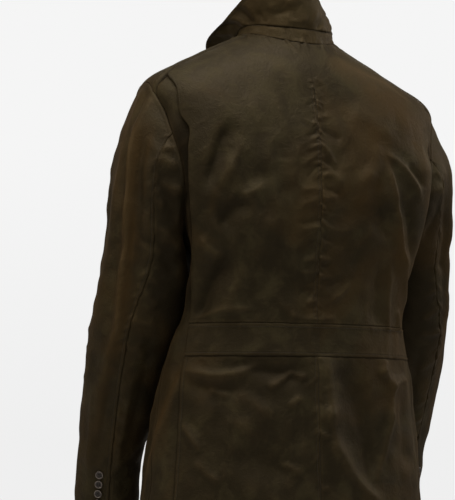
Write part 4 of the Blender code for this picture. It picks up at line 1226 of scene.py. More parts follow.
# ---------------------------------------------------------------- the body's panels
@dataclass(frozen=True)
class Body:
    """The panels of one side of the body: back, side, front and back skirt."""

    side: Side
    step: float = 0.0034
    back_step: float = 0.0024
    back_width: float = 0.205
    strip_width: float = 0.070
    front_width: float = 0.250
    skirt_width: float = 0.215
    side_turns: int = 74
    settling_rows: int = 6
    front_turns: int = 96
    shoulder_length: float = 0.135
    centre_at_pleat: float = -0.098
    turned_under: float = 0.005
    fold_turns: tuple[float, ...] = (60.0, 30.0, 0.0, -30.0, -60.0, -90.0)
    pleat_shares: tuple[float, ...] = (0.2, 0.5, 0.8, 1.0)
    pleat_sinks: tuple[float, ...] = (1.0, 1.0, 1.0, 1.3)
    lap_shares: tuple[float, ...] = (1.0, 0.75, 0.5, 0.25, 0.1)
    pleat_closes_over: float = 0.030
    seam_flat: float = 0.9
    seam_flat_below: float = 0.080
    seam_flattens_over: float = 0.030
    centre_seam_reach: float = 0.010
    # Painted shade: along the back's folded edge, under the arm, by the side strip's fold below the
    # band, and on the front beside the arm.
    fold_grime: float = 0.0024
    arm_grime_from: float = -0.128
    arm_grime_over: tuple[float, float] = (0.05, 0.04)
    strip_grime: float = 0.95
    strip_grime_width: float = 0.0030
    strip_grime_over: float = 0.02
    front_grime: tuple[float, float] = (-0.37, 0.06)
    front_grime_reach: float = 0.030
    front_grime_full: float = 1.5
    lap_rises_over: float = 0.06
    front_lip: tuple[float, ...] = (0.003, 0.007, 0.011)
    lip_dip: float = 0.0016
    lip_dip_width: float = 0.0026
    lip_grime_width: float = 0.0030
    lip_slope: float = 0.12
    lip_from_row: int = -4
    strip_rise: float = 0.0022
    strip_middle: float = 0.011
    strip_half: float = 0.006
    back_cut: tuple[float, float] = (0.260, 0.520)
    back_share: float = 0.78
    side_cut: tuple[float, float] = (0.126, 0.766)
    side_share: float = 0.58
    front_cut: tuple[float, float] = (0.345, 0.880)
    front_share: float = 0.72
    skirt_cut: tuple[float, float] = (0.225, 0.272)
    skirt_share: float = 0.965

    def _sheet(self, angle: Array, height: Array, base: Any) -> tuple[Array, Array, Array]:
        """Cloth on the form.

        Args:
            angle: Angles round the form, positive on either side.
            height: Levels.
            base: Metres out from the form before the creases.

        Returns:
            The points, the chart, and the creases' rise.
        """
        signed = angle * self.side.value
        rise, across, up = DRAPE.out(signed, height)
        points = FORM.moved_out(signed, height, base + rise)
        return points, np.stack([across, up], axis=-1), rise

    def _node(self, kind: str) -> str:
        """The name of this side's solid of a kind."""
        return f"{kind}_{self.side.word}"

    def _below_armhole(self, turns: Array) -> tuple[Array, Array, Array]:
        """The edge up the side seam and on round the armhole.

        Args:
            turns: Turns of the armhole, the first at its lowest point.

        Returns:
            The seam's heights, then the whole edge's angles and levels.
        """
        seam = HEM + (ARMPIT - HEM) * seam_spacing(ARMPIT - HEM, self.step, last=False)[:-1]
        angle, height = armhole_place(turns % FULL_TURN)
        angle = np.concatenate([side_seam_angle(seam), angle])
        return seam, angle, np.concatenate([seam, height])

    def back(self) -> Panel:
        """Half of the back, its outer edge turned under as the pleat."""
        top = PLEAT_EDGES[-1].z
        up = seam_spacing(top - BAND_TOP, self.back_step, last=False)
        c = seam_spacing(self.back_width, self.back_step, last=False)
        along_seam = 1 - seam_spacing(self.shoulder_length, self.back_step, first=False)[1:]
        z = np.concatenate([BAND_TOP + (top - BAND_TOP) * up, np.full(len(along_seam), top)])
        fold_line = side_back_line(z[: len(up)])
        seam = shoulder_line(PLEAT_SHARE * along_seam)
        line = with_rates(*(np.concatenate(parts) for parts in zip(fold_line, seam)))
        rising = BAND_TOP + (self.centre_at_pleat - BAND_TOP) * up
        centre = np.concatenate([rising, self.centre_at_pleat * along_seam])
        angle = line.angle[:, None] * c
        height = centre[:, None] * (1 - c) + line.height[:, None] * c
        rate = FORM.round_rate(line.angle, line.height)[:, None]
        from_edge = (line.angle[:, None] - angle) * rate
        stand_off = proud(z, self.side)[:, None] * ease(1 - from_edge / PROUD_REACH)

        pitch = ply_pitch(z)[:, None]
        closing = ease((z[: len(up)] - top) / self.pleat_closes_over + 1)
        on_seam = np.concatenate([closing, np.ones(len(along_seam))])
        depth = (lap_depth(z) * (1 - on_seam) + self.turned_under * on_seam)[:, None]
        turn = np.radians(np.array([self.fold_turns]))
        along = [pitch / 2 * np.cos(turn), -depth * np.array([self.pleat_shares])]
        inward = [pitch / 2 * (np.sin(turn) - 1), -pitch * np.array([self.pleat_sinks])]
        along, inward = np.concatenate(along, axis=1), np.concatenate(inward, axis=1)
        lap_angle, lap_height = line.beside(along)
        lap_stand = proud(z, self.side)[:, None] * ease(1 + np.minimum(along, 0) / PROUD_REACH)
        points, chart, out = self._sheet(
            np.concatenate([angle, lap_angle], axis=1),
            np.concatenate([height, lap_height], axis=1),
            np.concatenate([stand_off, lap_stand + inward], axis=1),
        )
        unsewn = draw_in(points, first=-MEETS, low=GAP, high=GAP)
        outward = -self.side.value
        points, rubbed, grime = sewn(
            unsewn, outward, first=self._centre_edge(), low=PLAIN_EDGE, high=PLAIN_EDGE
        )
        pressed = ease((centre + self.seam_flat_below) / self.seam_flattens_over)[:, None]
        by_centre = edge_ways(unsewn).first < self.centre_seam_reach
        shows = np.where(by_centre, 1 - self.seam_flat * pressed, 1.0)
        points = unsewn + (points - unsewn) * shows[..., None]
        rubbed, grime = rubbed * shows, grime * shows
        column_number = np.arange(points.shape[1])
        open_part = (1 - on_seam)[:, None]
        wear = worn(rubbed, out)
        run = edge_ways(points).first
        to_fold = np.abs(run - run[:, len(c) - 1 : len(c)])
        # Painted shade along the back's turned edge where it is sewn, where the seam's shadow
        # falls.
        grime = np.maximum(grime, bell(to_fold / self.fold_grime) * on_seam[:, None])
        if self.side is Side.LEFT:
            # On the left, painted shade over the pleat's turned-under layer where it opens.
            grime = np.maximum(grime, (column_number > len(c) + 1) * open_part)
        else:
            # On the right, the fold's edge is brightened both as wear and as a painted highlight of
            # its lit edge.
            wear = np.maximum(wear, (np.abs(column_number - len(c)) <= 2) * open_part)
        return dyed(Panel(
            self._node("back"), points, chart, outward, wear, grime,
            self.back_cut, self.back_share, ("collar_stand",), fold_column=len(c) - 1,
        ))

    def _centre_edge(self) -> SewnEdge:
        """The centre-back seam: the left half is lapped and stitched, the right half plain."""
        return LAPPED_CENTRE if self.side is Side.LEFT else PLAIN_CENTRE

    def side_piece(self) -> Panel:
        """The full-length side, from under the pleat round to the side seam and the armhole."""
        turns = np.linspace(HALF_TURN, SHOULDER_END, self.side_turns)
        seam, outer_angle, outer_height = self._below_armhole(turns)
        rising = ARMHOLE_MIDDLE_Z + ARMHOLE_HALF_HEIGHT * np.cos(np.radians(turns))
        top = PLEAT_EDGES[-1].z
        rising = ARMPIT + (rising - rising[0]) * (top - ARMPIT) / (rising[-1] - rising[0])
        z = np.concatenate([seam, rising])
        line = with_rates(*side_back_line(z))
        share = seam_spacing(self.strip_width, self.step)
        seam_top = shoulder_line(PLEAT_SHARE + (1 - PLEAT_SHARE) * share)
        rows = self.settling_rows
        near_top = ease((np.arange(len(z)) - len(z) + rows) / (rows - 1))[:, None]
        angle = line.angle[:, None] + (outer_angle - line.angle)[:, None] * share
        height = line.height[:, None] + (outer_height - line.height)[:, None] * share
        angle = angle + (seam_top[0] - angle[-1]) * near_top
        height = height + (seam_top[1] - height[-1]) * near_top
        width = (outer_angle - line.angle) * FORM.round_rate(line.angle, line.height)
        reach = np.minimum(SIDE_SETTLES_MOST, SIDE_SETTLES_OVER / np.maximum(width, STEP))
        settle = ease(share[None] / reach[:, None])

        pleated = ease((z - BAND_TOP) / LAP_GATHERS_OVER + 1)[:, None]
        deep = LAP_UNDER_BAND + (2 * ply_pitch(z)[:, None] - LAP_UNDER_BAND) * pleated
        along = -lap_depth(z)[:, None] * np.array([self.lap_shares])
        lap_angle, lap_height = line.beside(along)
        over = proud(z, self.side)[:, None]
        lap_base = -deep + over * ease(1 + along / PROUD_REACH)
        points, chart, out = self._sheet(
            np.concatenate([lap_angle, angle], axis=1),
            np.concatenate([lap_height, height], axis=1),
            np.concatenate([lap_base, (over - deep) * (1 - settle)], axis=1),
        )
        above = np.arange(len(z)) >= len(seam)
        points = draw_in(points, last=GAP + ARMHOLE_GAP * above, high=GAP)
        outward = -self.side.value
        points, rubbed, grime = sewn(
            points, outward, last=STRIP_EDGE, low=FREE_EDGE, high=STRIP_EDGE
        )
        # Painted shade under the arm between the band and the pleat's top, and beside the side
        # strip's fold below the band.
        opens, closes = self.arm_grime_over
        under_arm = ease((z - BAND_TOP) / opens) * ease((self.arm_grime_from - z) / closes)
        run = edge_ways(points).first
        at_fold = len(self.lap_shares)
        by_fold = bell((run - run[:, at_fold : at_fold + 1]) / self.strip_grime_width)
        below_band = self.strip_grime * ease((BAND_BOTTOM - z) / self.strip_grime_over)
        grime = np.maximum(grime, under_arm[:, None])
        grime = np.maximum(grime, by_fold * below_band[:, None])
        return dyed(Panel(
            self._node("side"), points, chart, outward, worn(rubbed, out), grime,
            self.side_cut, self.side_share, (self._node("back"), self._node("top_sleeve")),
        ))

    def front(self) -> Panel:
        """A front from its lapping edge round to the side seam, up the armhole to the shoulder."""
        turns = np.linspace(HALF_TURN, FULL_TURN + SHOULDER_END, self.front_turns)
        seam, *outer = self._below_armhole(turns)
        outer = np.stack(outer, axis=-1)
        straight = len(turns) // 2
        edge_height = np.concatenate([seam, np.linspace(ARMPIT, 0.0, straight)])
        half_turn = np.full(len(edge_height), math.pi)
        near_neck = ease(edge_height / self.lap_rises_over + 1)
        lap = FRONT_LAP + (FRONT_LAP_AT_NECK - FRONT_LAP) * near_neck
        edge_angle = math.pi + lap / FORM.round_rate(half_turn, edge_height)
        neck = np.linspace(edge_angle[-1], NECK_POINT_ANGLE, len(turns) - straight + 1)[1:]
        centre = np.stack(
            [np.concatenate([edge_angle, neck]), np.concatenate([edge_height, 0 * neck])], axis=-1
        )
        c = seam_spacing(self.front_width, self.step)
        hem_angle = centre[0, 0] + (outer[0, 0] - centre[0, 0]) * c
        low = np.stack([hem_angle, np.full(len(c), HEM)], axis=-1)
        high = np.stack(shoulder_line(c), axis=-1)
        places = coons(centre, outer, low, high, np.linspace(0, 1, len(centre)), c)
        angle, height = places[..., 0], places[..., 1]
        from_centre = np.abs(FORM.points(angle, height)[..., 0])
        outward = self.side.value
        over = outward * FRONT_PLY * ease(FRONT_PLY_FLAT - from_centre / FRONT_PLY_REACH)
        points, chart, out = self._sheet(angle, height, over * (np.cos(angle) < 0))
        above = np.arange(len(centre)) >= len(seam)
        points = draw_in(points, last=GAP + ARMHOLE_GAP * above)
        points, rubbed, grime = sewn(
            points, outward, first=FREE_EDGE, last=PLAIN_EDGE, low=FREE_EDGE
        )
        # Painted shade on the front by the arm, in the gap between sleeve and body.
        middle, half = self.front_grime
        away = edge_ways(points).last / self.front_grime_reach
        by_seam = ease(self.front_grime_full - away)
        grime = np.maximum(grime, bell((chart[..., 1] - middle) / half) * by_seam)
        points, chart, rubbed, grime, out = self._with_lip(points, chart, rubbed, grime, out)
        return dyed(Panel(
            self._node("front"), points, chart, outward, worn(rubbed, out), grime,
            self.front_cut, self.front_share, (self._node("back"),), lip_rows=len(self.front_lip),
        ))

    def _with_lip(self, points: Array, *values: Array) -> tuple[Array, ...]:
        """Carry the front's shoulder edge on beneath the back's turned edge.

        Args:
            points: The front's grid.
            values: Its chart, how rubbed its seams are and their painted shade, and its creases'
                rise.

        Returns:
            All of them with the lip's rows added: the edge dips, then runs on and slopes inwards.
        """
        chart, rubbed, grime, out = values
        normals = grid_normals(points, self.side.value)
        to_edge = edge_ways(points).high
        strip = self.strip_rise * bell((to_edge - self.strip_middle) / self.strip_half)
        dip = self.lip_dip * bell(to_edge / self.lip_dip_width)
        points = points + normals * (strip - dip)[..., None]
        # Painted shade along the shoulder edge, under the back's turned edge.
        grime = np.maximum(grime, bell(to_edge / self.lip_grime_width))
        way = unit(points[-1] - points[self.lip_from_row])
        rows = [points[-1] + way * t - normals[-1] * self.lip_slope * t for t in self.front_lip]
        held = [
            np.concatenate([each, np.repeat(each[-1:], len(rows), axis=0)])
            for each in (chart, rubbed, grime, out)
        ]
        return (np.concatenate([points, np.stack(rows)]), *held)

    def skirt(self) -> Panel:
        """Half of the back skirt, below the band."""
        c = seam_spacing(self.skirt_width, self.step)
        up = seam_spacing(BAND_BOTTOM - HEM, self.step)
        end, height = pleat_edge(HEM + (BAND_BOTTOM - HEM) * up)
        angle = end[:, None] * c
        level = np.broadcast_to(height[:, None], angle.shape)
        points, chart, out = self._sheet(angle, level, 0.0)
        points = draw_in(points, first=-MEETS, high=GAP)
        outward = -self.side.value
        points, rubbed, grime = sewn(
            points, outward, first=self._centre_edge(), last=LAPPED_EDGE, low=FREE_EDGE,
            high=PLAIN_EDGE,
        )
        return dyed(Panel(
            self._node("skirt_back"), points, chart, outward, worn(rubbed, out), grime,
            self.skirt_cut, self.skirt_share, ("waist_band",),
        ))


@dataclass(frozen=True)
class WaistBand:
    """The band sewn in across the back."""

    step: float = 0.0030
    columns: int = 132
    cut: tuple[float, float] = (0.400, 0.049)

    def panel(self) -> Panel:
        """The band's cloth, a little proud of the panels above and below."""
        r = seam_spacing(BAND_TOP - BAND_BOTTOM, self.step)
        z = BAND_BOTTOM + (BAND_TOP - BAND_BOTTOM) * r
        end, height = pleat_edge(z)
        share = np.linspace(-1, 1, self.columns + 1)
        angle = end[:, None] * share
        level = np.broadcast_to(height[:, None], angle.shape)
        rise, across, up = DRAPE.out(angle, level)
        points = FORM.moved_out(angle, level, BAND_PROUD + rise)
        points = draw_in(points, low=GAP, high=GAP)
        points, rubbed, grime = sewn(points, -1.0, low=LAPPED_EDGE, high=LAPPED_EDGE)
        chart = np.stack([across, up], axis=-1)
        return dyed(Panel(
            "waist_band", points, chart, -1.0, worn(rubbed, rise), grime, self.cut, 1.0,
            ("back_left", "back_right"),
        ))


# ---------------------------------------------------------------- sleeves
# across: degrees round the sleeve from its top, 90 at the back; up: Z in millimetres.
LEFT_SLEEVE_CREASES = creases(
    (146, -362, 146, -462, 34, 4.4), (140, -575, 140, -640, 30, 2.4),
    (148, -640, 150, -760, 34, 2.3), (118, -318, 124, -392, 13, 1.7),
    (31, -170, 38, -306, 6, 3.0, 0, -0.25), (32, -178, 38, -318, 3.2, 2.4, 0, -0.3),
    (38, -296, 40, -372, 3.4, 3.6, 0, -0.3), (39, -356, 50, -452, 3.8, 3.8, 0, -0.3),
    (50, -436, 43, -506, 4, 2.6), (45, -200, 47, -350, 6, -2.6), (49, -350, 58, -440, 6, -2.4),
    (20, -190, 25, -330, 10, -2.8), (26, -330, 34, -440, 10, -2.2), (49, -190, 56, -330, 9, -3.4),
    (56, -340, 66, -440, 8, -2.4), (6, -200, 8, -300, 9, 2.2), (44, -452, 40, -560, 8, 2.6),
    (28, -540, 32, -660, 9, 2.4), (52, -540, 48, -640, 8, -2.0), (82, -198, 104, -206, 5, 2.0),
    (88, -252, 116, -262, 6, 2.6), (92, -318, 118, -338, 7, 2.4), (90, -352, 112, -372, 7, -2.2),
    (10, -104, 14, -166, 6, 1.9), (24, -108, 24, -160, 5, -1.5), (37, -122, 34, -182, 6, 1.9),
    (56, -186, 78, -210, 5, 1.7), (76, -216, 100, -226, 6, 2.6, 2), (80, -236, 112, -300, 12, -3.0),
    (57, -328, 90, -337, 3.2, -1.6), (60, -336, 92, -350, 5, 1.3), (70, -262, 92, -282, 6, 1.6),
    (14, -260, 10, -420, 12, 1.6), (66, -392, 96, -420, 6, 1.6), (64, -440, 98, -446, 6, 1.8),
    (62, -470, 92, -492, 7, 1.5), (30, -460, 44, -600, 12, 2.0), (96, -470, 104, -620, 12, -2.4),
    (84, -540, 88, -650, 8, 1.6), (300, -430, 340, -452, 7, 1.8), (285, -470, 330, -476, 7, 2.0),
    (290, -500, 335, -520, 8, 1.6), (320, -150, 328, -300, 10, 2.2),
    (345, -240, 340, -400, 12, -2.0), (200, -440, 240, -452, 7, 1.8),
    (150, -500, 165, -640, 10, 1.6),
)

RIGHT_SLEEVE_CREASES = creases(
    (40, -160, 48, -300, 8, 3.6, 0, -0.2), (48, -290, 44, -430, 8, 3.4),
    (28, -190, 30, -330, 10, -2.4), (62, -230, 60, -360, 8, -2.4), (8, -180, 10, -320, 9, 2.0),
    (66, -200, 74, -310, 9, -2.0), (14, -106, 16, -170, 6, 1.9), (30, -112, 30, -162, 5, -1.5),
    (60, -190, 82, -214, 5, 1.6), (80, -222, 104, -232, 6, 2.2, 2), (84, -240, 108, -300, 12, -2.6),
    (60, -338, 92, -350, 4, -1.4), (62, -402, 96, -428, 6, 1.8), (60, -446, 98, -452, 6, 1.9),
    (62, -486, 94, -506, 7, 1.6), (28, -470, 40, -610, 12, 2.0), (95, -480, 104, -620, 12, -2.2),
    (298, -424, 340, -448, 7, 1.8), (285, -466, 332, -470, 7, 2.0), (290, -498, 336, -514, 8, 1.6),
    (322, -150, 326, -300, 10, 2.2), (342, -250, 338, -400, 12, -2.0),
    (204, -446, 244, -456, 7, 1.8), (152, -510, 168, -640, 10, 1.6),
)


class SeamPlace(NamedTuple):
    """How many degrees the elbow seam strays from its mean at a row of the sleeve."""

    row: float
    strays: float


ELBOW_SEAM = (
    SeamPlace(-1.0, 7.0),
    SeamPlace(-0.4, 8.0),
    SeamPlace(0.0, 7.5),
    SeamPlace(0.08, 5.5),
    SeamPlace(0.18, -0.5),
    SeamPlace(0.32, -5.0),
    SeamPlace(0.44, -4.5),
    SeamPlace(0.56, -1.5),
    SeamPlace(0.70, 3.5),
    SeamPlace(0.85, 6.5),
    SeamPlace(1.0, 6.0),
)


@dataclass(frozen=True)
class Sleeve:
    """One two-piece sleeve, hanging a little bent and forward."""

    side: Side
    head_rows: int = 34
    step: float = 0.0036
    turn_step: float = 3.1
    metres_per_degree: float = 0.00108
    head_length: float = 0.110
    ripple_radius: float = 0.060
    ripples: tuple[float, float] = (0.075, 0.034)
    ripple_seeds: tuple[int, int] = (40, 50)
    ripple_lean: float = 0.3
    small_share: float = 0.6
    calm_below_head: float = 0.020
    head_gap: float = 0.0004
    armpit_gap: float = 0.0022
    armpit_half: float = 70.0
    crumple: float = 0.00038
    boldness: float = 1.7
    inner_full: float = 0.006
    inner_full_at: float = -0.47
    inner_full_over: float = 0.10
    seam_puckers: tuple[Puckers, ...] = (
        Puckers(71, -0.700, -0.170, 0.011, 0.011, 0.0022, 0.0018),
        Puckers(72, -0.640, -0.180, 0.024, 0.024, 0.0036, 0.0027, slant=0.5),
    )
    top_cut: tuple[float, float] = (0.250, 0.690)
    under_cut: tuple[float, float] = (0.260, 0.640)
    top_share: float = 0.68
    under_share: float = 0.62

    def _rings(self, names: Sequence[str], share: Array) -> Array:
        """Named sizes of the sleeve's rings at shares of the way down below the armpit."""
        table = [[getattr(ring, name) for name in names] for ring in SLEEVE_RINGS]
        return read_curve(np.linspace(0, 1, len(SLEEVE_RINGS)), table, share)

    def _centre(self, share: Array) -> Array:
        """The sleeve's middle line below the armpit."""
        return self._rings(("x", "y_" + self.side.word, "z"), share)

    def smooth(self, turns: Array, rows: Array) -> Array:
        """The sleeve without creases, in the left side's coordinates.

        Args:
            turns: Degrees round from the top of the armhole, 90 at the back, for each row.
            rows: From -1 at the armhole through 0 at the first ring to 1 at the cuff.

        Returns:
            Points for each row and turn: cubic lines from armhole to ring, then ovals on down.
        """
        t = np.radians(turns)[..., None]
        first = int(np.searchsorted(rows, 0.0))
        angle, height = armhole_place(turns[:first] % FULL_TURN)
        mirror = np.array([self.side.value, 1.0, 1.0])
        hole = FORM.points(angle * self.side.value, height) * mirror
        share = np.clip(rows, 0, 1)
        centre = self._centre(share)
        down = unit(self._centre(share + AHEAD) - self._centre(share - AHEAD))
        out = unit(np.array([1.0, 0.0, 0.0]) - down[..., :1] * down)
        back = np.cross(out, down)
        size = self._rings(("half_width", "half_depth"), share)
        wide, deep = size[:, :1], size[:, 1:]
        inner = np.maximum(-np.cos(t), 0.0)
        full = self.inner_full * bell((centre[:, 2] - self.inner_full_at) / self.inner_full_over)
        tube = (
            centre[:, None]
            - (out * full[:, None])[:, None] * inner
            + (out * wide)[:, None] * np.cos(t)
            + (back * deep)[:, None] * np.sin(t)
        )
        ring = tube[:first]
        length = np.linalg.norm(ring - hole, axis=-1, keepdims=True)
        table = [(line.out, line.back, -line.down) for line in SLEEVE_HEAD]
        leave = unit(read_curve(column(SLEEVE_HEAD, "turn"), table, turns[:first])) * length
        arrive = down[:first, None] * length
        s = (rows[:first] + 1)[:, None, None]
        cap = (
            (1 + 2 * s) * (1 - s) ** 2 * hole
            + s * (1 - s) ** 2 * leave
            + s**2 * (3 - 2 * s) * ring
            + s**2 * (s - 1) * arrive
        )
        return np.concatenate([cap, tube[first:]], axis=0)

    def rows(self) -> Array:
        """Row places from the armhole to the cuff, close beside the armhole seam and the hem."""
        head = -1 + seam_spacing(self.head_length, self.head_length / self.head_rows, last=False)
        length = abs(SLEEVE_RINGS[-1].z - SLEEVE_RINGS[0].z)
        tube = seam_spacing(length, self.step, first=False)
        return np.concatenate([head[:-1], tube])

    def back_seam(self, rows: Array) -> Array:
        """How many degrees the elbow seam strays from its mean at each row."""
        return read_curve(column(ELBOW_SEAM, "row"), column(ELBOW_SEAM, "strays"), rows)[:, None]

    def rise(self, turns: Array, points: Array, seam: Array) -> Array:
        """The creases' rise over a grid of the sleeve, with the puckers along the elbow seam."""
        table = LEFT_SLEEVE_CREASES if self.side is Side.LEFT else RIGHT_SLEEVE_CREASES
        scale = self.metres_per_degree
        across = turns * scale
        up = points[..., 2]
        total = np.zeros(points.shape[:2])
        for wrap in (-FULL_TURN, 0.0, FULL_TURN):
            placed = [
                crease._replace(
                    across_from=(crease.across_from + wrap) * scale / MM,
                    across_to=(crease.across_to + wrap) * scale / MM,
                )
                for crease in table
            ]
            total += crease_rise(placed, across, up) * self.boldness
        x = self.ripple_radius * np.cos(np.radians(turns))
        y = self.ripple_radius * np.sin(np.radians(turns))
        seed = self.ripple_seeds[self.side is Side.RIGHT]
        long, short = self.ripples
        lean = self.ripple_lean
        soft = Ripple(seed, long).at(x + y * lean, up + y)
        soft = soft + Ripple(seed + 1, long).at(y - x * lean, up - x)
        small = Ripple(seed + 2, short).at(x, up) + Ripple(seed + 3, short).at(y, up + x)
        total += self.crumple * (soft + self.small_share * small)
        from_seam = (turns - BACK_SEAM_TURN - seam + HALF_TURN) % FULL_TURN - HALF_TURN
        for puckers in self.seam_puckers:
            total += puckers.rise_at(up, from_seam * scale)
        return total * ease(edge_ways(points).low / self.calm_below_head)

    def _dyed(self, panel: Panel) -> Panel:
        """Give a panel its wax tones with painted shade and highlight, and its russet rubs, partly
        painted highlight, its turns folded into those of the tables.
        """
        first = FRONT_SEAM_TURN - FULL_TURN
        turns = panel.chart[..., 0] / self.metres_per_degree
        turns = (turns - first) % FULL_TURN + first
        up = panel.chart[..., 1]
        panel.tone = crease_rise(SLEEVE_WAX_AND_PAINTED_LIGHT, turns * MM, up) / MM
        panel.russet = crease_rise(SLEEVE_RUSSET, turns * MM, up) / MM
        return panel

    def top(self) -> Panel:
        """The piece over the outside of the arm, from the front seam to the elbow seam."""
        rows = self.rows()
        strays = self.back_seam(rows)
        span = BACK_SEAM_TURN + FULL_TURN - FRONT_SEAM_TURN
        c = self._shares(span)
        worked = self._worked(FRONT_SEAM_TURN + span * c + strays * c, rows, strays, SLEEVE_SEAM)
        return self._piece("top_sleeve", worked, self.top_cut, self.top_share)

    def under(self) -> Panel:
        """The piece inside the arm, from the elbow seam to the front seam."""
        rows = self.rows()
        strays = self.back_seam(rows)
        span = FRONT_SEAM_TURN - BACK_SEAM_TURN
        c = self._shares(span)
        turns = BACK_SEAM_TURN + span * c + strays * (1 - c)
        worked = self._worked(turns, rows, strays, FAINT_EDGE)
        return self._piece("under_sleeve", worked, self.under_cut, self.under_share)

    def _shares(self, span: float) -> Array:
        """Shares across a piece that spans some degrees."""
        scale = self.metres_per_degree
        return seam_spacing(span * scale, self.turn_step * scale)

    def _worked(
        self, turns: Array, rows: Array, strays: Array, last: SewnEdge
    ) -> tuple[Array, Array, Array, Array]:
        """Work out a piece's cloth.

        Args:
            turns: Degrees round the sleeve at each point.
            rows: The rows' places.
            strays: How far the elbow seam strays at each row.
            last: How its last seam is sewn.

        Returns:
            Its points on the left side, its chart, its wear and its painted shade.
        """
        smooth = self.smooth(turns, rows)
        rise = self.rise(turns, smooth, strays)
        points = smooth - grid_normals(smooth, 1.0) * rise[..., None]
        under = bell((turns[0] % FULL_TURN - HALF_TURN) / self.armpit_half)
        points = draw_in(points, first=GAP, last=GAP, low=self.head_gap + self.armpit_gap * under)
        points, rubbed, grime = sewn(
            points, -1.0, first=FAINT_EDGE, last=last, low=SLEEVE_HEAD_EDGE, high=SLEEVE_HEM
        )
        chart = np.stack([turns * self.metres_per_degree, smooth[..., 2]], axis=-1)
        return points, chart, worn(rubbed, rise), grime

    def _piece(
        self, kind: str, worked: tuple[Array, ...], cut: tuple[float, float], share: float
    ) -> Panel:
        """Finish one of the two pieces.

        Args:
            kind: Its name without the side.
            worked: Its points, chart, wear and painted shade.
            cut: Its width and length when cut.
            share: The share of that rectangle that it fills.

        Returns:
            The piece on its own side, with its seam allowance.
        """
        points, chart, wear, grime = worked
        side = self.side
        hangs = ("front_" + side.word, "side_" + side.word)
        points = points * np.array([side.value, 1.0, 1.0])
        return self._dyed(with_allowance(Panel(
            f"{kind}_{side.word}", points, chart, -side.value, wear, grime, cut, share, hangs
        )))


# ---------------------------------------------------------------- collar
# across: millimetres round the neck from the centre back, the wearer's left positive; up: from 0 at
# the stand to 50 at the fall's edge.
COLLAR_CREASES = creases(
    (30, 26, 22, 40, 2.6, -2.6, 2), (22, 28, 6, 34, 2.6, 2.2), (36, 34, 28, 46, 2.8, 2.2),
    (12, 20, 2, 30, 2.4, -1.8), (44, 16, 16, 24, 3.5, -3.4, 2), (48, 24, 10, 36, 5, 2.6),
    (20, 8, -6, 14, 4, 2.2, 2), (-10, 4, -30, 30, 5, 2.6), (-26, 3, -48, 26, 4, -2.8),
    (-40, 14, -62, 40, 6, 2.4), (60, 4, 66, 20, 4, -2.4), (84, 4, 92, 46, 5, -4.4),
    (98, 3, 108, 46, 5, 3.6), (72, 8, 78, 44, 6, 2.8), (114, 4, 124, 44, 5, -3.4),
    (134, 6, 146, 40, 7, 2.2), (-80, 8, -86, 40, 6, 2.2), (-98, 6, -104, 44, 5, -2.6),
    (-122, 8, -130, 40, 7, 2.0),
)


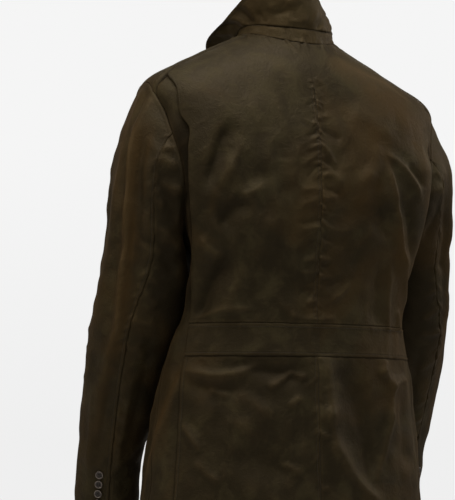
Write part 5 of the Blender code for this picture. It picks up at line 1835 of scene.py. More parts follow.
@dataclass(frozen=True)
class Collar:
    """The turned-up collar: a stand, and the fall that carries on up from it."""

    step: float = 0.0032
    length: float = 0.460
    stand_height: float = 0.022
    stand_step: float = 0.0020
    stand_wave: float = 0.0004
    stand_ripple: Ripple = Ripple(62, 0.024)
    stand_puckers: Puckers = Puckers(61, -0.20, 0.20, 0.006, 0.013, 0.0022, 0.0017, slant=0.5)
    seam_at: float = 0.001
    fall_height: float = 0.052
    fall_chart: float = 0.050
    fall_step: float = 0.0026
    fall_waves: tuple[float, float] = (0.0006, 0.0003)
    fall_ripples: tuple[Ripple, Ripple] = (Ripple(63, 0.050), Ripple(64, 0.022))
    fall_puckers: Puckers = Puckers(65, -0.20, 0.20, 0.010, 0.016, 0.0030, 0.0016, slant=0.5)
    fall_gap: float = 0.0006
    bend_at: float = 0.25
    stand_cut: tuple[float, float] = (0.500, 0.023)
    stand_share: float = 0.80
    fall_cut: tuple[float, float] = (0.540, 0.060)
    fall_share: float = 0.66
    fall_wall: float = 0.0017
    # The whole collar's tone is lifted: a painted highlight for the light on its top.
    tone: float = 1.15
    russet: float = 0.25

    def _lines(self, angle: Array) -> tuple[Array, Array, Array]:
        """The neck seam, the seam at the top of the stand, and the fall's outer edge.

        Args:
            angle: Angles round the neck in radians.

        Returns:
            Three lines of points.
        """
        base = FORM.points(angle, np.zeros_like(angle))
        degrees = np.degrees(angle)
        places = column(COLLAR, "angle")
        height = read_curve(places, column(COLLAR, "stand_height"), degrees)
        middle = np.array([0.0, LEVELS[-1].y_side, 0.0])
        inward = unit((middle - base) * np.array([1.0, 1.0, 0.0]))
        seam = base + inward * STAND_LEAN + np.array([0.0, 0.0, 1.0]) * height[:, None]
        table = [(row.edge_x, row.edge_y, row.edge_z) for row in COLLAR]
        return base, seam, read_curve(places, table, degrees)

    def _angles(self) -> Array:
        """Even angles from one collar end to the other."""
        end = math.radians(COLLAR_END_ANGLE)
        share = seam_spacing(self.length, self.step)
        return (share * 2 - 1) * end

    def _around(self, line: Array) -> Array:
        """Metres along a line of points from its middle."""
        run = np.concatenate([[0.0], np.cumsum(np.linalg.norm(np.diff(line, axis=0), axis=-1))])
        return run - run[-1] / 2

    def stand(self) -> Panel:
        """The stand, puckered where it is sewn to the neckline."""
        base, seam, _ = self._lines(self._angles())
        share = seam_spacing(self.stand_height, self.stand_step)[:, None, None]
        points = base + (seam - base) * share
        around, up = self._chart(base, share * self.stand_height)
        rise = self.stand_puckers.rise_at(around, up + self.seam_at)
        rise = rise + self.stand_wave * self.stand_ripple.at(around, up)
        return self._piece("collar_stand", points, (around, up), rise, GAP, PLAIN_EDGE)

    def fall(self) -> Panel:
        """The fall: a curve up from the stand that rolls out to its edge, with its creases."""
        _, seam, edge = self._lines(self._angles())
        share = seam_spacing(self.fall_height, self.fall_step)[:, None, None]
        up_way = np.array([0.0, 0.0, 1.0]) * np.linalg.norm(edge - seam, axis=-1, keepdims=True)
        bend = seam * (1 - self.bend_at) + edge * self.bend_at + up_way * FALL_ROLL
        points = (1 - share) ** 2 * seam + 2 * share * (1 - share) * bend + share**2 * edge
        around, up = self._chart(seam, share * self.fall_chart)
        rise = crease_rise(COLLAR_CREASES, around, up)
        for wave, ripple in zip(self.fall_waves, self.fall_ripples):
            rise = rise + wave * ripple.at(around, up)
        rise = rise + self.fall_puckers.rise_at(around, up + self.seam_at)
        return self._piece("collar_fall", points, (around, up), rise, self.fall_gap, FREE_EDGE)

    def _chart(self, line: Array, up: Array) -> tuple[Array, Array]:
        """Metres round along a line and metres up, for each point of a grid on it."""
        return np.broadcast_arrays(self._around(line)[None], up[..., 0])

    def _piece(
        self,
        node: str,
        points: Array,
        chart: tuple[Array, Array],
        rise: Array,
        gap: float,
        high: SewnEdge,
    ) -> Panel:
        """Lift, sew and finish one of the collar's two pieces.

        Args:
            node: Its solid.
            points: Its smooth grid.
            chart: Metres round and up at each point.
            rise: Its creases' rise.
            gap: How far it stops short of the seam along its lowest row.
            high: How its highest row ends.

        Returns:
            The piece with its seam allowance.
        """
        stand_up = node == "collar_stand"
        points = points - grid_normals(points, 1.0) * rise[..., None]
        points = draw_in(points, low=gap, high=GAP if stand_up else 0.0)
        points, rubbed, grime = sewn(
            points, -1.0, first=FREE_EDGE, last=FREE_EDGE, low=PLAIN_EDGE, high=high
        )
        return with_allowance(Panel(
            node, points, np.stack(chart, axis=-1), -1.0, worn(rubbed, rise), grime,
            self.stand_cut if stand_up else self.fall_cut,
            self.stand_share if stand_up else self.fall_share,
            ("back_left", "back_right") if stand_up else ("collar_stand",),
            wall=WALL if stand_up else self.fall_wall, tone=self.tone, russet=self.russet,
        ))


# ---------------------------------------------------------------- shader maths
class Sock:
    """A shader socket that takes part in Python arithmetic, each operator a Math node."""

    def __init__(self, tree: Any, socket: Any) -> None:
        """Wrap a socket of a node tree."""
        self.tree = tree
        self.socket = socket

    def _math(self, operation: str, first: Any, second: Any) -> "Sock":
        """Add a Math node.

        Args:
            operation: Blender's name of the operation.
            first: A Sock or a number.
            second: A Sock or a number.

        Returns:
            The node's output.
        """
        settings = {"operation": operation}
        return add_node(self.tree, "ShaderNodeMath", settings, {0: first, 1: second})

    def __add__(self, other: Any) -> "Sock":
        """Sum."""
        return self._math("ADD", self, other)

    __radd__ = __add__

    def __sub__(self, other: Any) -> "Sock":
        """Difference."""
        return self._math("SUBTRACT", self, other)

    def __rsub__(self, other: Any) -> "Sock":
        """Difference from the left."""
        return self._math("SUBTRACT", other, self)

    def __mul__(self, other: Any) -> "Sock":
        """Product."""
        return self._math("MULTIPLY", self, other)

    __rmul__ = __mul__

    def __pow__(self, other: Any) -> "Sock":
        """Power."""
        return self._math("POWER", self, other)

    def size(self) -> "Sock":
        """Absolute value."""
        return self._math("ABSOLUTE", self, 0.0)

    def sine(self) -> "Sock":
        """Sine."""
        return self._math("SINE", self, 0.0)

    def clamped(self) -> "Sock":
        """Held between 0 and 1."""
        return self._math("MAXIMUM", self._math("MINIMUM", self, 1.0), 0.0)

    def between(self, low: float, high: float) -> "Sock":
        """0 below low, 1 above high, straight between."""
        return ((self - low) * (1.0 / (high - low))).clamped()


def add_node(
    tree: Any, kind: str, settings: dict[str, Any], inputs: dict[Any, Any], output: Any = 0
) -> Sock:
    """Add any node, set it up and link it.

    Args:
        tree: The node tree.
        kind: Blender's type name of the node.
        settings: Its own settings, set first.
        inputs: Values or Socks for its sockets, by name or number.
        output: The output to wrap, by name or number.

    Returns:
        That output.
    """
    node = tree.nodes.new(kind)
    for name, value in settings.items():
        setattr(node, name, value)
    feed(tree, node, inputs)
    return Sock(tree, node.outputs[output])


def feed(tree: Any, node: Any, inputs: dict[Any, Any]) -> None:
    """Link each Sock to its socket of a node, and set the other sockets to their values."""
    for key, value in inputs.items():
        if isinstance(value, Sock):
            tree.links.new(value.socket, node.inputs[key])
        else:
            node.inputs[key].default_value = value


def grey(value: float) -> "Colour":
    """A colour without a hue."""
    return (value, value, value, 1.0)


def stored(tree: Any, name: str) -> Sock:
    """A value that a piece stores at each of its points."""
    return add_node(tree, "ShaderNodeAttribute", {"attribute_name": name}, {}, "Fac")


def new_finish(name: str) -> tuple[Any, Any, Any, Sock]:
    """Start a finish: the material, its node tree, its shader, and Object coordinates."""
    material = bpy.data.materials.new(name)
    material.use_nodes = True
    tree = material.node_tree
    place = add_node(tree, "ShaderNodeTexCoord", {}, {}, "Object")
    return material, tree, tree.nodes["Principled BSDF"], place


def blend_colour(tree: Any, share: Any, first: Any, second: Any) -> Sock:
    """Mix two colours by a share."""
    settings = {"data_type": "RGBA", "blend_type": "MIX"}
    return add_node(tree, "ShaderNodeMix", settings, {0: share, 6: first, 7: second}, 2)


class Noise(NamedTuple):
    """One of a finish's noises, its scale in turns a metre."""

    scale: float
    detail: float
    roughness: float
    distortion: float = 0.0


Colour = tuple[float, float, float, float]
STORED = ("wear", "grime", "tone", "russet")


@dataclass(frozen=True)
class WaxedCotton:
    """Waxed cotton: dark olive brown, cloudy with wax, paler and browner where it is rubbed, with
    painted highlight and painted shade from its stored values.

    The shares say how much each noise and stored value counts, in the order in which build adds
    them up.
    """

    name: str = "waxed_cotton_cloth"
    deep: Colour = (0.0078, 0.0060, 0.0027, 1.0)
    ground: Colour = (0.0218, 0.0174, 0.0078, 1.0)
    waxy: Colour = (0.0365, 0.0305, 0.0138, 1.0)
    brown: Colour = (0.0440, 0.0240, 0.0066, 1.0)
    # rubbed: the colour of rubbed wax, and also of the painted highlight.
    rubbed: Colour = (0.0620, 0.0400, 0.0170, 1.0)
    # seam: the near-black colour of painted shade.
    seam: Colour = (0.0030, 0.0022, 0.0012, 1.0)
    roughness: float = 0.60
    specular: float = 0.28
    specular_tint: Colour = (1.0, 0.78, 0.50, 1.0)
    sheen: float = 0.06
    sheen_roughness: float = 0.45
    sheen_tint: Colour = (0.95, 0.60, 0.28, 1.0)
    weave_pitch: float = 0.00075
    weave_depth: float = 0.000012
    grain_depth: float = 0.00006
    fine_depth: float = 0.00054
    crackle_depth: float = 0.00014
    patch_depth: float = 0.0010
    cloud: Noise = Noise(9.0, 4.0, 0.6, 0.8)
    patch: Noise = Noise(38.0, 4.0, 0.62, 0.6)
    fine: Noise = Noise(170.0, 3.0, 0.65)
    grain: Noise = Noise(900.0, 2.0, 0.6)
    crackle: Noise = Noise(52.0, 3.0, 0.55, 1.0)
    crackle_sharpness: float = 11.0
    warmth: Noise = Noise(5.0, 3.0, 0.6, 1.0)
    wax_shares: tuple[float, ...] = (1.3, 1.2, 0.35, 0.36)
    wax_starts: float = 0.93
    clouds_from: float = 0.47
    cloud_shares: tuple[float, ...] = (2.6, 3.1, 0.45, 0.12)
    clouded_most: float = 0.75
    russet_from: float = 0.48
    russet_shares: tuple[float, ...] = (3.0, 0.45, 0.7)
    russet_most: float = 0.75
    lit_from: float = 0.70
    lit_shares: tuple[float, ...] = (0.35, 0.7)
    lit_most: float = 0.8
    seam_most: float = 0.9
    seam_dull: float = 0.3
    rub_shares: tuple[float, ...] = (0.10, 0.7, 0.34, 0.1)
    dull_shares: tuple[float, ...] = (0.26, 0.2, 0.04)

    def build(self) -> Any:
        """Make the material.

        Returns:
            The material, reading Object coordinates, the chart's UV map and the stored values.
        """
        material, tree, shader, place = new_finish(self.name)
        wear, grime, tone, russet = (stored(tree, name) for name in STORED)

        def read(noise: Noise) -> Sock:
            """Read one of the noises."""
            names = ("Scale", "Detail", "Roughness", "Distortion")
            sockets = {"Vector": place, **dict(zip(names, noise))}
            return add_node(tree, "ShaderNodeTexNoise", {}, sockets)

        cloud = read(self.cloud)
        patch = read(self.patch)
        fine = read(self.fine)
        grain = read(self.grain)
        off = (read(self.crackle) - 0.5).size()
        crackle = (1.0 - off * self.crackle_sharpness).clamped() ** 2.0

        # The stored wax tone darkens the cloth where it is below 0 (painted shade) and clouds it
        # paler above (painted highlight).
        by_cloud, by_patch, by_fine, by_wax_and_painted_light = self.wax_shares
        waxed = cloud * by_cloud + patch * by_patch + fine * by_fine + tone * by_wax_and_painted_light
        waxed = waxed - self.wax_starts
        colour = blend_colour(tree, waxed.clamped(), self.deep, self.ground)
        by_cloud, by_patch, by_wax_and_painted_light, by_crackle = self.cloud_shares
        clouded = (cloud - self.clouds_from) * by_cloud + (patch - 0.5) * by_patch
        clouded = (clouded + tone * by_wax_and_painted_light + crackle * by_crackle).clamped()
        colour = blend_colour(tree, clouded * self.clouded_most, colour, self.waxy)
        by_warmth, plain, by_patch = self.russet_shares
        hue = (read(self.warmth) - self.russet_from) * by_warmth
        hue = hue + russet * (plain + patch * by_patch)
        colour = blend_colour(tree, hue.clamped() * self.russet_most, colour, self.brown)
        # Painted highlight: the rubbed colour where the stored wax tone is high.
        plain, by_patch = self.lit_shares
        lit = ((tone - self.lit_from) * (plain + patch * by_patch)).clamped()
        colour = blend_colour(tree, lit * self.lit_most, colour, self.rubbed)
        # Painted shade: towards the near-black seam colour.
        colour = blend_colour(tree, (grime * self.seam_most).clamped(), colour, self.seam)
        plain, by_fine, by_wear, by_crackle = self.rub_shares
        rub = wear * (plain + fine * by_fine) * by_wear
        rub = (rub + crackle * wear * by_crackle).clamped()
        colour = blend_colour(tree, rub, colour, self.rubbed)
        by_patch, by_fine, by_wax_and_painted_light = self.dull_shares
        rough = self.roughness + (patch - 0.5) * by_patch + (fine - 0.5) * by_fine
        rough = rough - tone * by_wax_and_painted_light
        rough = rough + grime * self.seam_dull

        chart = add_node(tree, "ShaderNodeUVMap", {"uv_map": "chart"}, {}, "UV")
        rate = math.tau / self.weave_pitch
        weft, warp = (
            (add_node(tree, "ShaderNodeSeparateXYZ", {}, {0: chart}, axis) * rate).sine()
            for axis in (0, 1)
        )
        weave = weft * warp * self.weave_depth + grain * self.grain_depth
        relief = fine * self.fine_depth + crackle * self.crackle_depth + patch * self.patch_depth
        sockets = {"Strength": 1.0, "Distance": 1.0, "Height": relief + weave}
        feed(tree, shader, {
            "Base Color": colour,
            "Roughness": rough.clamped(),
            "Normal": add_node(tree, "ShaderNodeBump", {}, sockets, "Normal"),
            "Specular IOR Level": self.specular,
            "Specular Tint": self.specular_tint,
            "Sheen Weight": self.sheen,
            "Sheen Roughness": self.sheen_roughness,
            "Sheen Tint": self.sheen_tint,
        })
        return material


@dataclass(frozen=True)
class Thread:
    """Sewing thread in the cloth's colour, a little paler and twisted."""

    name: str = "olive_thread"
    colour: Colour = (0.040, 0.029, 0.014, 1.0)
    dark: Colour = (0.018, 0.013, 0.007, 1.0)
    twist: float = 1500.0
    roughness: float = 0.62

    def build(self) -> Any:
        """Make the material: fine diagonal bands stand for the thread's twist."""
        material, tree, shader, place = new_finish(self.name)
        bands = add_node(
            tree, "ShaderNodeTexWave", {"wave_type": "BANDS", "bands_direction": "DIAGONAL"},
            {"Vector": place, "Scale": self.twist, "Distortion": 1.0}, "Fac",
        )
        colour = blend_colour(tree, bands, self.dark, self.colour)
        feed(tree, shader, {"Base Color": colour, "Roughness": self.roughness})
        return material


@dataclass(frozen=True)
class Horn:
    """Dark polished horn with paler streaks, a pale rim that is a painted highlight, and painted
    shade in its holes.
    """

    name: str = "dark_horn"
    dark: Colour = (0.012, 0.009, 0.008, 1.0)
    brown: Colour = (0.030, 0.019, 0.014, 1.0)
    # rim: the pale colour of the rim's painted highlight, broken up by the streaks.
    rim: Colour = (0.190, 0.160, 0.140, 1.0)
    # hole: the near-black painted shade in the sewing holes.
    hole: Colour = (0.003, 0.002, 0.002, 1.0)
    streaks: float = 260.0
    streaks_show: tuple[float, float] = (0.35, 0.75)
    hole_most: float = 0.9
    roughness: float = 0.20
    streaks_dull: float = 0.16
    rim_shares: tuple[float, float] = (1.9, 0.1)

    def build(self) -> Any:
        """Make the material; the stored wear value carries the rim's painted highlight, and the
        stored painted shade darkens the holes.
        """
        material, tree, shader, place = new_finish(self.name)
        edge, pit = stored(tree, "wear"), stored(tree, "grime")
        sockets = {"Vector": place, "Scale": self.streaks, "Detail": 4.0, "Distortion": 2.0}
        streak = add_node(tree, "ShaderNodeTexNoise", {}, sockets)
        colour = blend_colour(tree, streak.between(*self.streaks_show), self.dark, self.brown)
        by_streak, less = self.rim_shares
        pale = (edge * (streak * by_streak - less)).clamped()
        colour = blend_colour(tree, pale, colour, self.rim)
        colour = blend_colour(tree, (pit * self.hole_most).clamped(), colour, self.hole)
        rough = self.roughness + streak * self.streaks_dull
        feed(tree, shader, {"Base Color": colour, "Roughness": rough})
        return material


# ---------------------------------------------------------------- meshes
def grid_faces(rows: int, columns: int, closed: bool = False) -> Array:
    """Corner numbers of a grid's quads; a closed grid joins its last column to its first."""
    index = np.arange(rows * columns).reshape(rows, columns)
    if closed:
        index = np.concatenate([index, index[:, :1]], axis=1)
    corners = (index[:-1, :-1], index[:-1, 1:], index[1:, 1:], index[1:, :-1])
    return np.stack(corners, axis=-1).reshape(-1, 4)


def mesh_object(
    name: str, points: Array, faces: Array, material: Any, smooth: bool = True
) -> Any:
    """Make an object of quads at the origin.

    Args:
        name: The piece's name.
        points: Its points, one row each.
        faces: Its quads, one row each.
        material: Its finish.
        smooth: Whether it shades smooth.

    Returns:
        The object, linked to the scene.
    """
    mesh = bpy.data.meshes.new(name)
    mesh.vertices.add(len(points))
    mesh.vertices.foreach_set("co", points.astype(np.float32).ravel())
    mesh.loops.add(faces.size)
    mesh.loops.foreach_set("vertex_index", faces.astype(np.int32).ravel())
    mesh.polygons.add(len(faces))
    mesh.polygons.foreach_set("loop_start", np.arange(0, faces.size, 4, dtype=np.int32))
    mesh.update(calc_edges=True)
    mesh.validate()
    mesh.polygons.foreach_set("use_smooth", np.full(len(mesh.polygons), smooth))
    mesh.materials.append(material)
    piece = bpy.data.objects.new(name, mesh)
    bpy.context.scene.collection.objects.link(piece)
    return piece


def add_values(piece: Any, name: str, values: Array) -> None:
    """Store a value for each point under a name."""
    attribute = piece.data.attributes.new(name, "FLOAT", "POINT")
    attribute.data.foreach_set("value", values.astype(np.float32).ravel())


def cloth_object(panel: Panel, material: Any) -> None:
    """Make a panel's cloth in place of its solid: its grid as quads, given its wall by Solidify.

    Args:
        panel: The worked-out piece.
        material: Its finish.
    """
    rows, columns = panel.points.shape[:2]
    faces = grid_faces(rows, columns)
    if panel.side < 0:
        faces = faces[:, ::-1]
    points = stand(panel.points.reshape(-1, 3))
    piece = mesh_object(panel.name, points, faces, material)
    for name in STORED:
        add_values(piece, name, np.broadcast_to(getattr(panel, name), (rows, columns)))
    chart = piece.data.uv_layers.new(name="chart")
    order = np.empty(len(piece.data.loops), dtype=np.int32)
    piece.data.loops.foreach_get("vertex_index", order)
    chart.data.foreach_set("uv", panel.chart.reshape(-1, 2)[order].astype(np.float32).ravel())
    wall = piece.modifiers.new("Wall", "SOLIDIFY")
    wall.thickness = panel.wall
    wall.offset = 0.0
    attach(piece, "root")
    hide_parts(panel.node)
    width, length = panel.cut
    width * length * panel.share_of_cut


# ---------------------------------------------------------------- buttons and stitches
@dataclass(frozen=True)
class Button:
    """A turned horn button: a rounded raised rim round a well with four sewing holes."""

    node: str
    steps: int = 56
    thick: float = 0.34
    well: float = 0.56
    well_rings: int = 26
    well_reach: float = 0.58
    well_dish: float = 0.04
    hole_radius: float = 0.12
    hole_spread: float = 0.21
    hole_edge: float = 0.05
    hole_depth: float = 0.5
    thread_ends: float = 0.30
    thread_high: float = 0.16
    thread_narrows: float = 0.85
    arm_x: float = 0.234
    arm_y: float = -0.14
    # Each row: share of the radius, height, and how strongly the rim's painted highlight shows.
    profile: tuple[tuple[float, float, float], ...] = (
        (0.60, 0.58, 0.0), (0.66, 0.62, 0.0), (0.71, 0.74, 0.1), (0.76, 0.90, 0.5),
        (0.82, 0.98, 0.9), (0.88, 1.00, 1.0), (0.94, 0.96, 0.6), (0.98, 0.84, 0.2),
        (1.00, 0.62, 0.0), (1.00, 0.34, 0.1), (0.97, 0.12, 0.0), (0.92, 0.00, 0.0),
        (0.50, 0.00, 0.0), (0.00, 0.00, 0.0),
    )

    def frame(self) -> tuple[Array, Array, float]:
        """Read where the solid sits.

        Returns:
            The middle of its back, its right, up and outward directions as rows, and its radius.
        """
        solid = bpy.data.objects[self.node]
        points = np.empty(len(solid.data.vertices) * 3, dtype=np.float32)
        solid.data.vertices.foreach_get("co", points)
        world = np.array(solid.matrix_world)
        points = points.reshape(-1, 3).astype(float) @ world[:3, :3].T + world[:3, 3]
        middle = (points.max(axis=0) + points.min(axis=0)) / 2
        _, _, ways = np.linalg.svd(points - points.mean(axis=0), full_matrices=False)
        inside = np.array([self.arm_x * np.sign(middle[0]), self.arm_y, middle[2]])
        if self.node.startswith("front"):
            inside = np.array([0.0, 0.0, middle[2]])
        out = ways[2] * np.sign((middle - inside) @ ways[2])
        up = np.array([0.0, 0.0, 1.0])
        up = unit(up - out * (up @ out))
        rise = (points - middle) @ out
        flat = (points - middle) - rise[:, None] * out
        radius = float(np.linalg.norm(flat, axis=1).max())
        return middle + out * rise.min(), np.stack([np.cross(up, out), up, out]), radius

    def build(self, material: Any) -> list[Array]:
        """Make the button.

        Args:
            material: Its finish.

        Returns:
            The two threads through its holes, each a line of points.
        """
        base, ways, radius = self.frame()
        table = np.array(self.profile)
        inner = np.linspace(0.0, self.well_reach, self.well_rings)
        share = np.concatenate([inner, table[:, 0]])
        high = np.concatenate([self.well + self.well_dish * inner**2, table[:, 1]])
        rim = np.concatenate([0 * inner, table[:, 2]])
        turn = np.linspace(0, math.tau, self.steps, endpoint=False)
        x = share[:, None] * np.cos(turn)
        y = share[:, None] * np.sin(turn)
        pit = np.zeros(x.shape)
        spread = self.hole_spread
        for sx, sy in ((1, 1), (-1, 1), (-1, -1), (1, -1)):
            away = np.hypot(x - sx * spread, y - sy * spread)
            pit = np.maximum(pit, ease((self.hole_radius - away) / self.hole_edge + 0.5))
        pit *= np.arange(len(share))[:, None] < len(inner)
        size = radius * np.array([1.0, 1.0, self.thick])
        points = np.stack([x, y, high[:, None] - pit * self.hole_depth], axis=-1)
        points = points * size @ ways + base
        faces = grid_faces(len(share), self.steps, closed=True)
        piece = mesh_object(self.node + "_horn", points.reshape(-1, 3), faces, material)
        # The rim's painted highlight, and the painted shade in the holes.
        add_values(piece, "wear", np.broadcast_to(rim[:, None], x.shape))
        add_values(piece, "grime", pit)
        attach(piece, "root")
        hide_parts(self.node)
        across = spread * np.array([-1.0, -self.thread_narrows, self.thread_narrows, 1.0])
        over = self.well + self.thread_high
        up = np.array([self.thread_ends, over, over, self.thread_ends])
        threads = [np.stack([across, 0 * across + sy * spread, up], axis=-1) for sy in (-1, 1)]
        return [thread * size @ ways + base for thread in threads]


class Seam(NamedTuple):
    """A row of stitches beside one edge of a piece, its distance in and how far along it runs."""

    node: str
    edge: str
    away: float
    run_from: float = 0.0
    run_to: float = 1.0


@dataclass(frozen=True)
class Stitching:
    """Rows of thread stitches, each stitch a small closed swelling of five sides."""

    pitch: float = 0.0032
    length: float = 0.0023
    radius: float = 0.00028
    sides: int = 5
    sunk: float = 0.3
    stations: tuple[float, ...] = (-0.5, -0.3, 0.3, 0.5)
    swelling: tuple[float, ...] = (0.25, 1.0, 1.0, 0.25)
    aslant: tuple[float, ...] = (0.31, 0.52, 0.79)

    def line(self, panel: Panel, seam: Seam) -> Array:
        """Follow a panel's edge at a distance.

        Args:
            panel: The piece of cloth.
            seam: The row.

        Returns:
            A line of points on the cloth's outer face, found where the way in from the edge
            reaches the distance, between the two grid points on either side.
        """
        points = panel.points[panel.added_rows :] if seam.edge != "high" else panel.points
        points = points[: len(points) - panel.lip_rows] if panel.lip_rows else points
        points = points[:, : panel.fold_column + 1] if panel.fold_column else points
        ways = getattr(edge_ways(points), seam.edge)
        normals = grid_normals(points, panel.side)
        if seam.edge in ("low", "high"):
            points, normals, ways = (each.swapaxes(0, 1) for each in (points, normals, ways))
        if seam.edge in ("last", "high"):
            points, normals, ways = (each[:, ::-1] for each in (points, normals, ways))
        k = np.clip((ways < seam.away).sum(axis=1) - 1, 0, ways.shape[1] - 2)
        row = np.arange(len(points))
        t = ((seam.away - ways[row, k]) / (ways[row, k + 1] - ways[row, k]))[:, None]
        place = points[row, k] * (1 - t) + points[row, k + 1] * t
        normal = normals[row, k] * (1 - t) + normals[row, k + 1] * t
        line = place + unit(normal) * (panel.wall / 2 + self.radius * self.sunk)
        first, last = (int(round(end * (len(line) - 1))) for end in (seam.run_from, seam.run_to))
        return stand(line[first : last + 1])

    def capsules(self, line: Array) -> Array:
        """The stitches along a line.

        Args:
            line: Points along the row.

        Returns:
            Points of the stitches by stitch, station, side and coordinate.
        """
        run = np.concatenate([[0.0], np.cumsum(np.linalg.norm(np.diff(line, axis=0), axis=-1))])
        count = max(int(run[-1] / self.pitch), 1)
        middle = (np.arange(count) + 0.5) * run[-1] / count
        at = middle[:, None] + self.length * np.array(self.stations)
        places = np.stack([np.interp(at, run, line[:, k]) for k in range(3)], axis=-1)
        return self.rings(places)

    def rings(self, places: Array) -> Array:
        """Rings of points round each station of each stitch, thin at its ends."""
        way = unit(places[:, -1] - places[:, 0])
        aside = unit(np.cross(way, np.array(self.aslant)))
        turn = np.linspace(0, math.tau, self.sides, endpoint=False)[:, None]
        ring = aside[:, None] * np.cos(turn) + np.cross(way, aside)[:, None] * np.sin(turn)
        size = self.radius * np.array(self.swelling)
        return places[:, :, None] + ring[:, None] * size[:, None, None]

    def build(self, name: str, rings: Sequence[Array], material: Any) -> None:
        """Make one object of many stitches.

        Args:
            name: Its name.
            rings: The stitches' rings, as capsules or rings returns them.
            material: The thread.
        """
        points = np.concatenate(list(rings))
        count, stations, sides = points.shape[:3]
        faces = grid_faces(stations, sides, closed=True)
        faces = (faces[None] + (np.arange(count) * stations * sides)[:, None, None]).reshape(-1, 4)
        piece = mesh_object(name, points.reshape(-1, 3), faces, material)
        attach(piece, "root")


def both(kind: str, *row: Any) -> tuple[Seam, Seam]:
    """The same row of stitches on the left and the right piece of a kind."""
    return Seam(kind + "_left", *row), Seam(kind + "_right", *row)


SEAMS = {
    "body_stitches": (
        Seam("back_left", "first", 0.0015, 0.0, 0.80),
        Seam("back_left", "first", 0.0055, 0.0, 0.80),
        *both("back", "last", 0.0016, 0.62, 1.0),
        *both("back", "high", 0.0018),
        Seam("waist_band", "low", 0.0055),
        Seam("waist_band", "high", 0.0055),
        Seam("skirt_back_left", "first", 0.0015),
        Seam("skirt_back_left", "first", 0.0055),
        *both("skirt_back", "last", 0.0055),
        *both("skirt_back", "low", 0.0055),
        *both("side", "low", 0.0055),
        *both("front", "low", 0.0055),
        *both("front", "first", 0.0055),
    ),
    "sleeve_stitches": (
        *both("top_sleeve", "last", 0.0053),
        *both("top_sleeve", "high", 0.0060),
        *both("under_sleeve", "high", 0.0060),
    ),
    "collar_stitches": (
        Seam("collar_stand", "high", 0.0018),
        Seam("collar_fall", "high", 0.0055),
        Seam("collar_fall", "first", 0.0055),
        Seam("collar_fall", "last", 0.0055),
    ),
}


# ---------------------------------------------------------------- studio
@dataclass(frozen=True)
class Softbox:
    """One large soft light aimed at a point of the jacket."""

    name: str
    place: tuple[float, float, float]
    aim: tuple[float, float, float]
    size: float
    watts: float
    colour: tuple[float, float, float] = (1.0, 1.0, 1.0)

    def add(self) -> None:
        """Put the light in the scene."""
        light = bpy.data.lights.new(self.name, "AREA")
        light.shape = "SQUARE"
        light.size = self.size
        light.energy = self.watts
        light.color = self.colour
        lamp = bpy.data.objects.new(self.name, light)
        way = Vector(self.aim) - Vector(self.place)
        turn = way.to_track_quat("-Z", "Y").to_matrix().to_4x4()
        lamp.matrix_world = Matrix.Translation(self.place) @ turn
        bpy.context.scene.collection.objects.link(lamp)


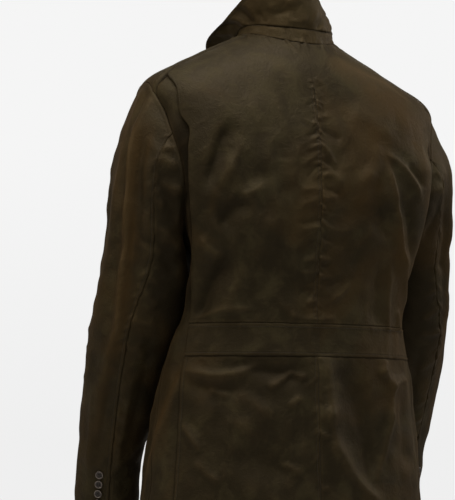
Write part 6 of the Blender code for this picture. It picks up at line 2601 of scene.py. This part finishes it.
@dataclass(frozen=True)
class Studio:
    """A pale floor under a pale even sky, soft lights, and the camera."""

    floor_z: float = -1.52
    floor_half: float = 400.0
    floor_fades: tuple[float, float] = (3.0, 12.0)
    floor_near: float = 0.30
    floor_far: float = 0.862
    floor_lights: float = 0.05
    floor_colour: float = 0.62
    azimuth: float = 158.0
    elevation: float = -6.0
    distance: float = 2.8
    focal_pixels_per_metre: float = 650.0
    frame_height: float = 500.0
    sensor: float = 36.0
    middle_right: float = -0.0865
    middle_up: float = -0.323
    backdrop: float = 0.913
    backdrop_rises: tuple[float, float] = (0.0, 0.16)
    fill: float = 0.11
    fill_low: float = 0.55
    fill_more: float = 1.1
    fill_rises: tuple[float, float] = (-0.2, 1.0)
    clip: float = 0.05
    lights: tuple[Softbox, ...] = (
        Softbox("overhead", (0.3, 0.9, 2.1), (0.0, 0.1, -0.1), 2.0, 60.0, (1.0, 0.94, 0.84)),
        Softbox("beside_left", (2.9, 0.5, 0.8), (0.1, 0.0, -0.3), 1.1, 21.0, (1.0, 0.88, 0.70)),
        Softbox("beside_right", (-2.9, 0.2, 0.9), (-0.1, 0.0, -0.3), 1.4, 15.0, (1.0, 0.90, 0.76)),
        Softbox("beside_camera", (-0.4, 4.4, 1.0), (0.0, 0.1, -0.2), 1.6, 11.0),
        Softbox("in_front", (-1.5, -3.2, 1.2), (0.0, 0.0, -0.35), 1.8, 14.0, (1.0, 0.95, 0.88)),
    )

    def build(self) -> None:
        """Make the floor, the sky, the lights and the camera."""
        self._floor()
        self._sky()
        for light in self.lights:
            light.add()
        self._camera()
        bpy.context.scene.view_settings.view_transform = "Standard"

    def _floor(self) -> None:
        """The floor, far enough across to meet the sky."""
        corners = np.array([[-1, -1, 0], [1, -1, 0], [1, 1, 0], [-1, 1, 0]]) * self.floor_half
        points = corners + np.array([0.0, 0.0, self.floor_z])
        material, tree, shader, place = new_finish("pale_floor")
        away = add_node(tree, "ShaderNodeVectorMath", {"operation": "LENGTH"}, {0: place}, "Value")
        far = away.between(*self.floor_fades)
        seen = add_node(tree, "ShaderNodeLightPath", {}, {}, "Is Camera Ray")
        shown = blend_colour(tree, far, grey(self.floor_near), grey(self.floor_far))
        feed(tree, shader, {
            "Base Color": blend_colour(tree, far, grey(self.floor_colour), grey(0.0)),
            "Emission Color": blend_colour(tree, seen, grey(self.floor_lights), shown),
            "Roughness": 1.0,
            "Specular IOR Level": 0.0,
            "Emission Strength": 1.0,
        })
        faces = np.array([[0, 1, 2, 3]])
        floor = mesh_object("studio_floor", points, faces, material, smooth=False)

    def _sky(self) -> None:
        """A pale even backdrop that lights the cloth less than it shows."""
        world = bpy.data.worlds.new("studio_sky")
        bpy.context.scene.world = world
        world.use_nodes = True
        tree = world.node_tree
        sky = tree.nodes["Background"]
        seen = add_node(tree, "ShaderNodeLightPath", {}, {}, "Is Camera Ray")
        way = add_node(tree, "ShaderNodeTexCoord", {}, {}, "Generated")
        rise = add_node(tree, "ShaderNodeSeparateXYZ", {}, {0: way}, "Z")
        paler = self.backdrop - self.floor_far
        shown = self.floor_far + paler * rise.between(*self.backdrop_rises)
        lit = self.fill * (self.fill_low + rise.between(*self.fill_rises) * self.fill_more)
        feed(tree, sky, {"Strength": lit + seen * (shown - lit), "Color": grey(1.0)})

    def _camera(self) -> None:
        """The camera: behind the wearer's left shoulder, a little below the waist, looking up."""
        azimuth, elevation = math.radians(self.azimuth), math.radians(self.elevation)
        level, rise = math.cos(elevation), math.sin(elevation)
        back = Vector((math.sin(azimuth) * level, -math.cos(azimuth) * level, rise))
        right = Vector((math.cos(azimuth), math.sin(azimuth), 0.0))
        up = back.cross(right)
        target = right * self.middle_right + Vector((0.0, 0.0, self.middle_up / up.z))
        lens = bpy.data.cameras.new("camera")
        lens.lens = self.focal_pixels_per_metre * self.distance * self.sensor / self.frame_height
        lens.sensor_width = self.sensor
        lens.clip_start = self.clip
        camera = bpy.data.objects.new("camera", lens)
        turn = Matrix((right, up, back)).transposed().to_4x4()
        camera.matrix_world = Matrix.Translation(target + back * self.distance) @ turn
        bpy.context.scene.collection.objects.link(camera)
        bpy.context.scene.camera = camera


# ---------------------------------------------------------------- the jacket
def main() -> None:
    """Build the jacket's pieces in order, then set the studio up."""
    logging.basicConfig(level=logging.INFO, format="%(message)s")
    cotton = WaxedCotton().build()
    horn = Horn().build()
    panels = [WaistBand().panel(), Collar().stand(), Collar().fall()]
    for side in Side:
        body = Body(side)
        sleeve = Sleeve(side)
        panels += [body.back(), body.side_piece(), body.front(), body.skirt()]
        panels += [sleeve.top(), sleeve.under()]
    for panel in panels:
        cloth_object(panel, cotton)
        LOG.info("%s: %d points", panel.name, panel.points.shape[0] * panel.points.shape[1])
    stitching = Stitching()
    sewn_on = []
    for name in sorted(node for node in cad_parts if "button" in node):
        sewn_on.append(stitching.rings(np.stack(Button(name).build(horn))))
        LOG.info("%s_horn", name)
    by_node = {panel.node: panel for panel in panels}
    thread = Thread().build()
    for name, seams in SEAMS.items():
        rings = [stitching.capsules(stitching.line(by_node[seam.node], seam)) for seam in seams]
        if name == "body_stitches":
            rings += sewn_on
        stitching.build(name, rings, thread)
        LOG.info("%s: %d stitches", name, sum(len(each) for each in rings))
    Studio().build()


if __name__ == "__main__":
    main()
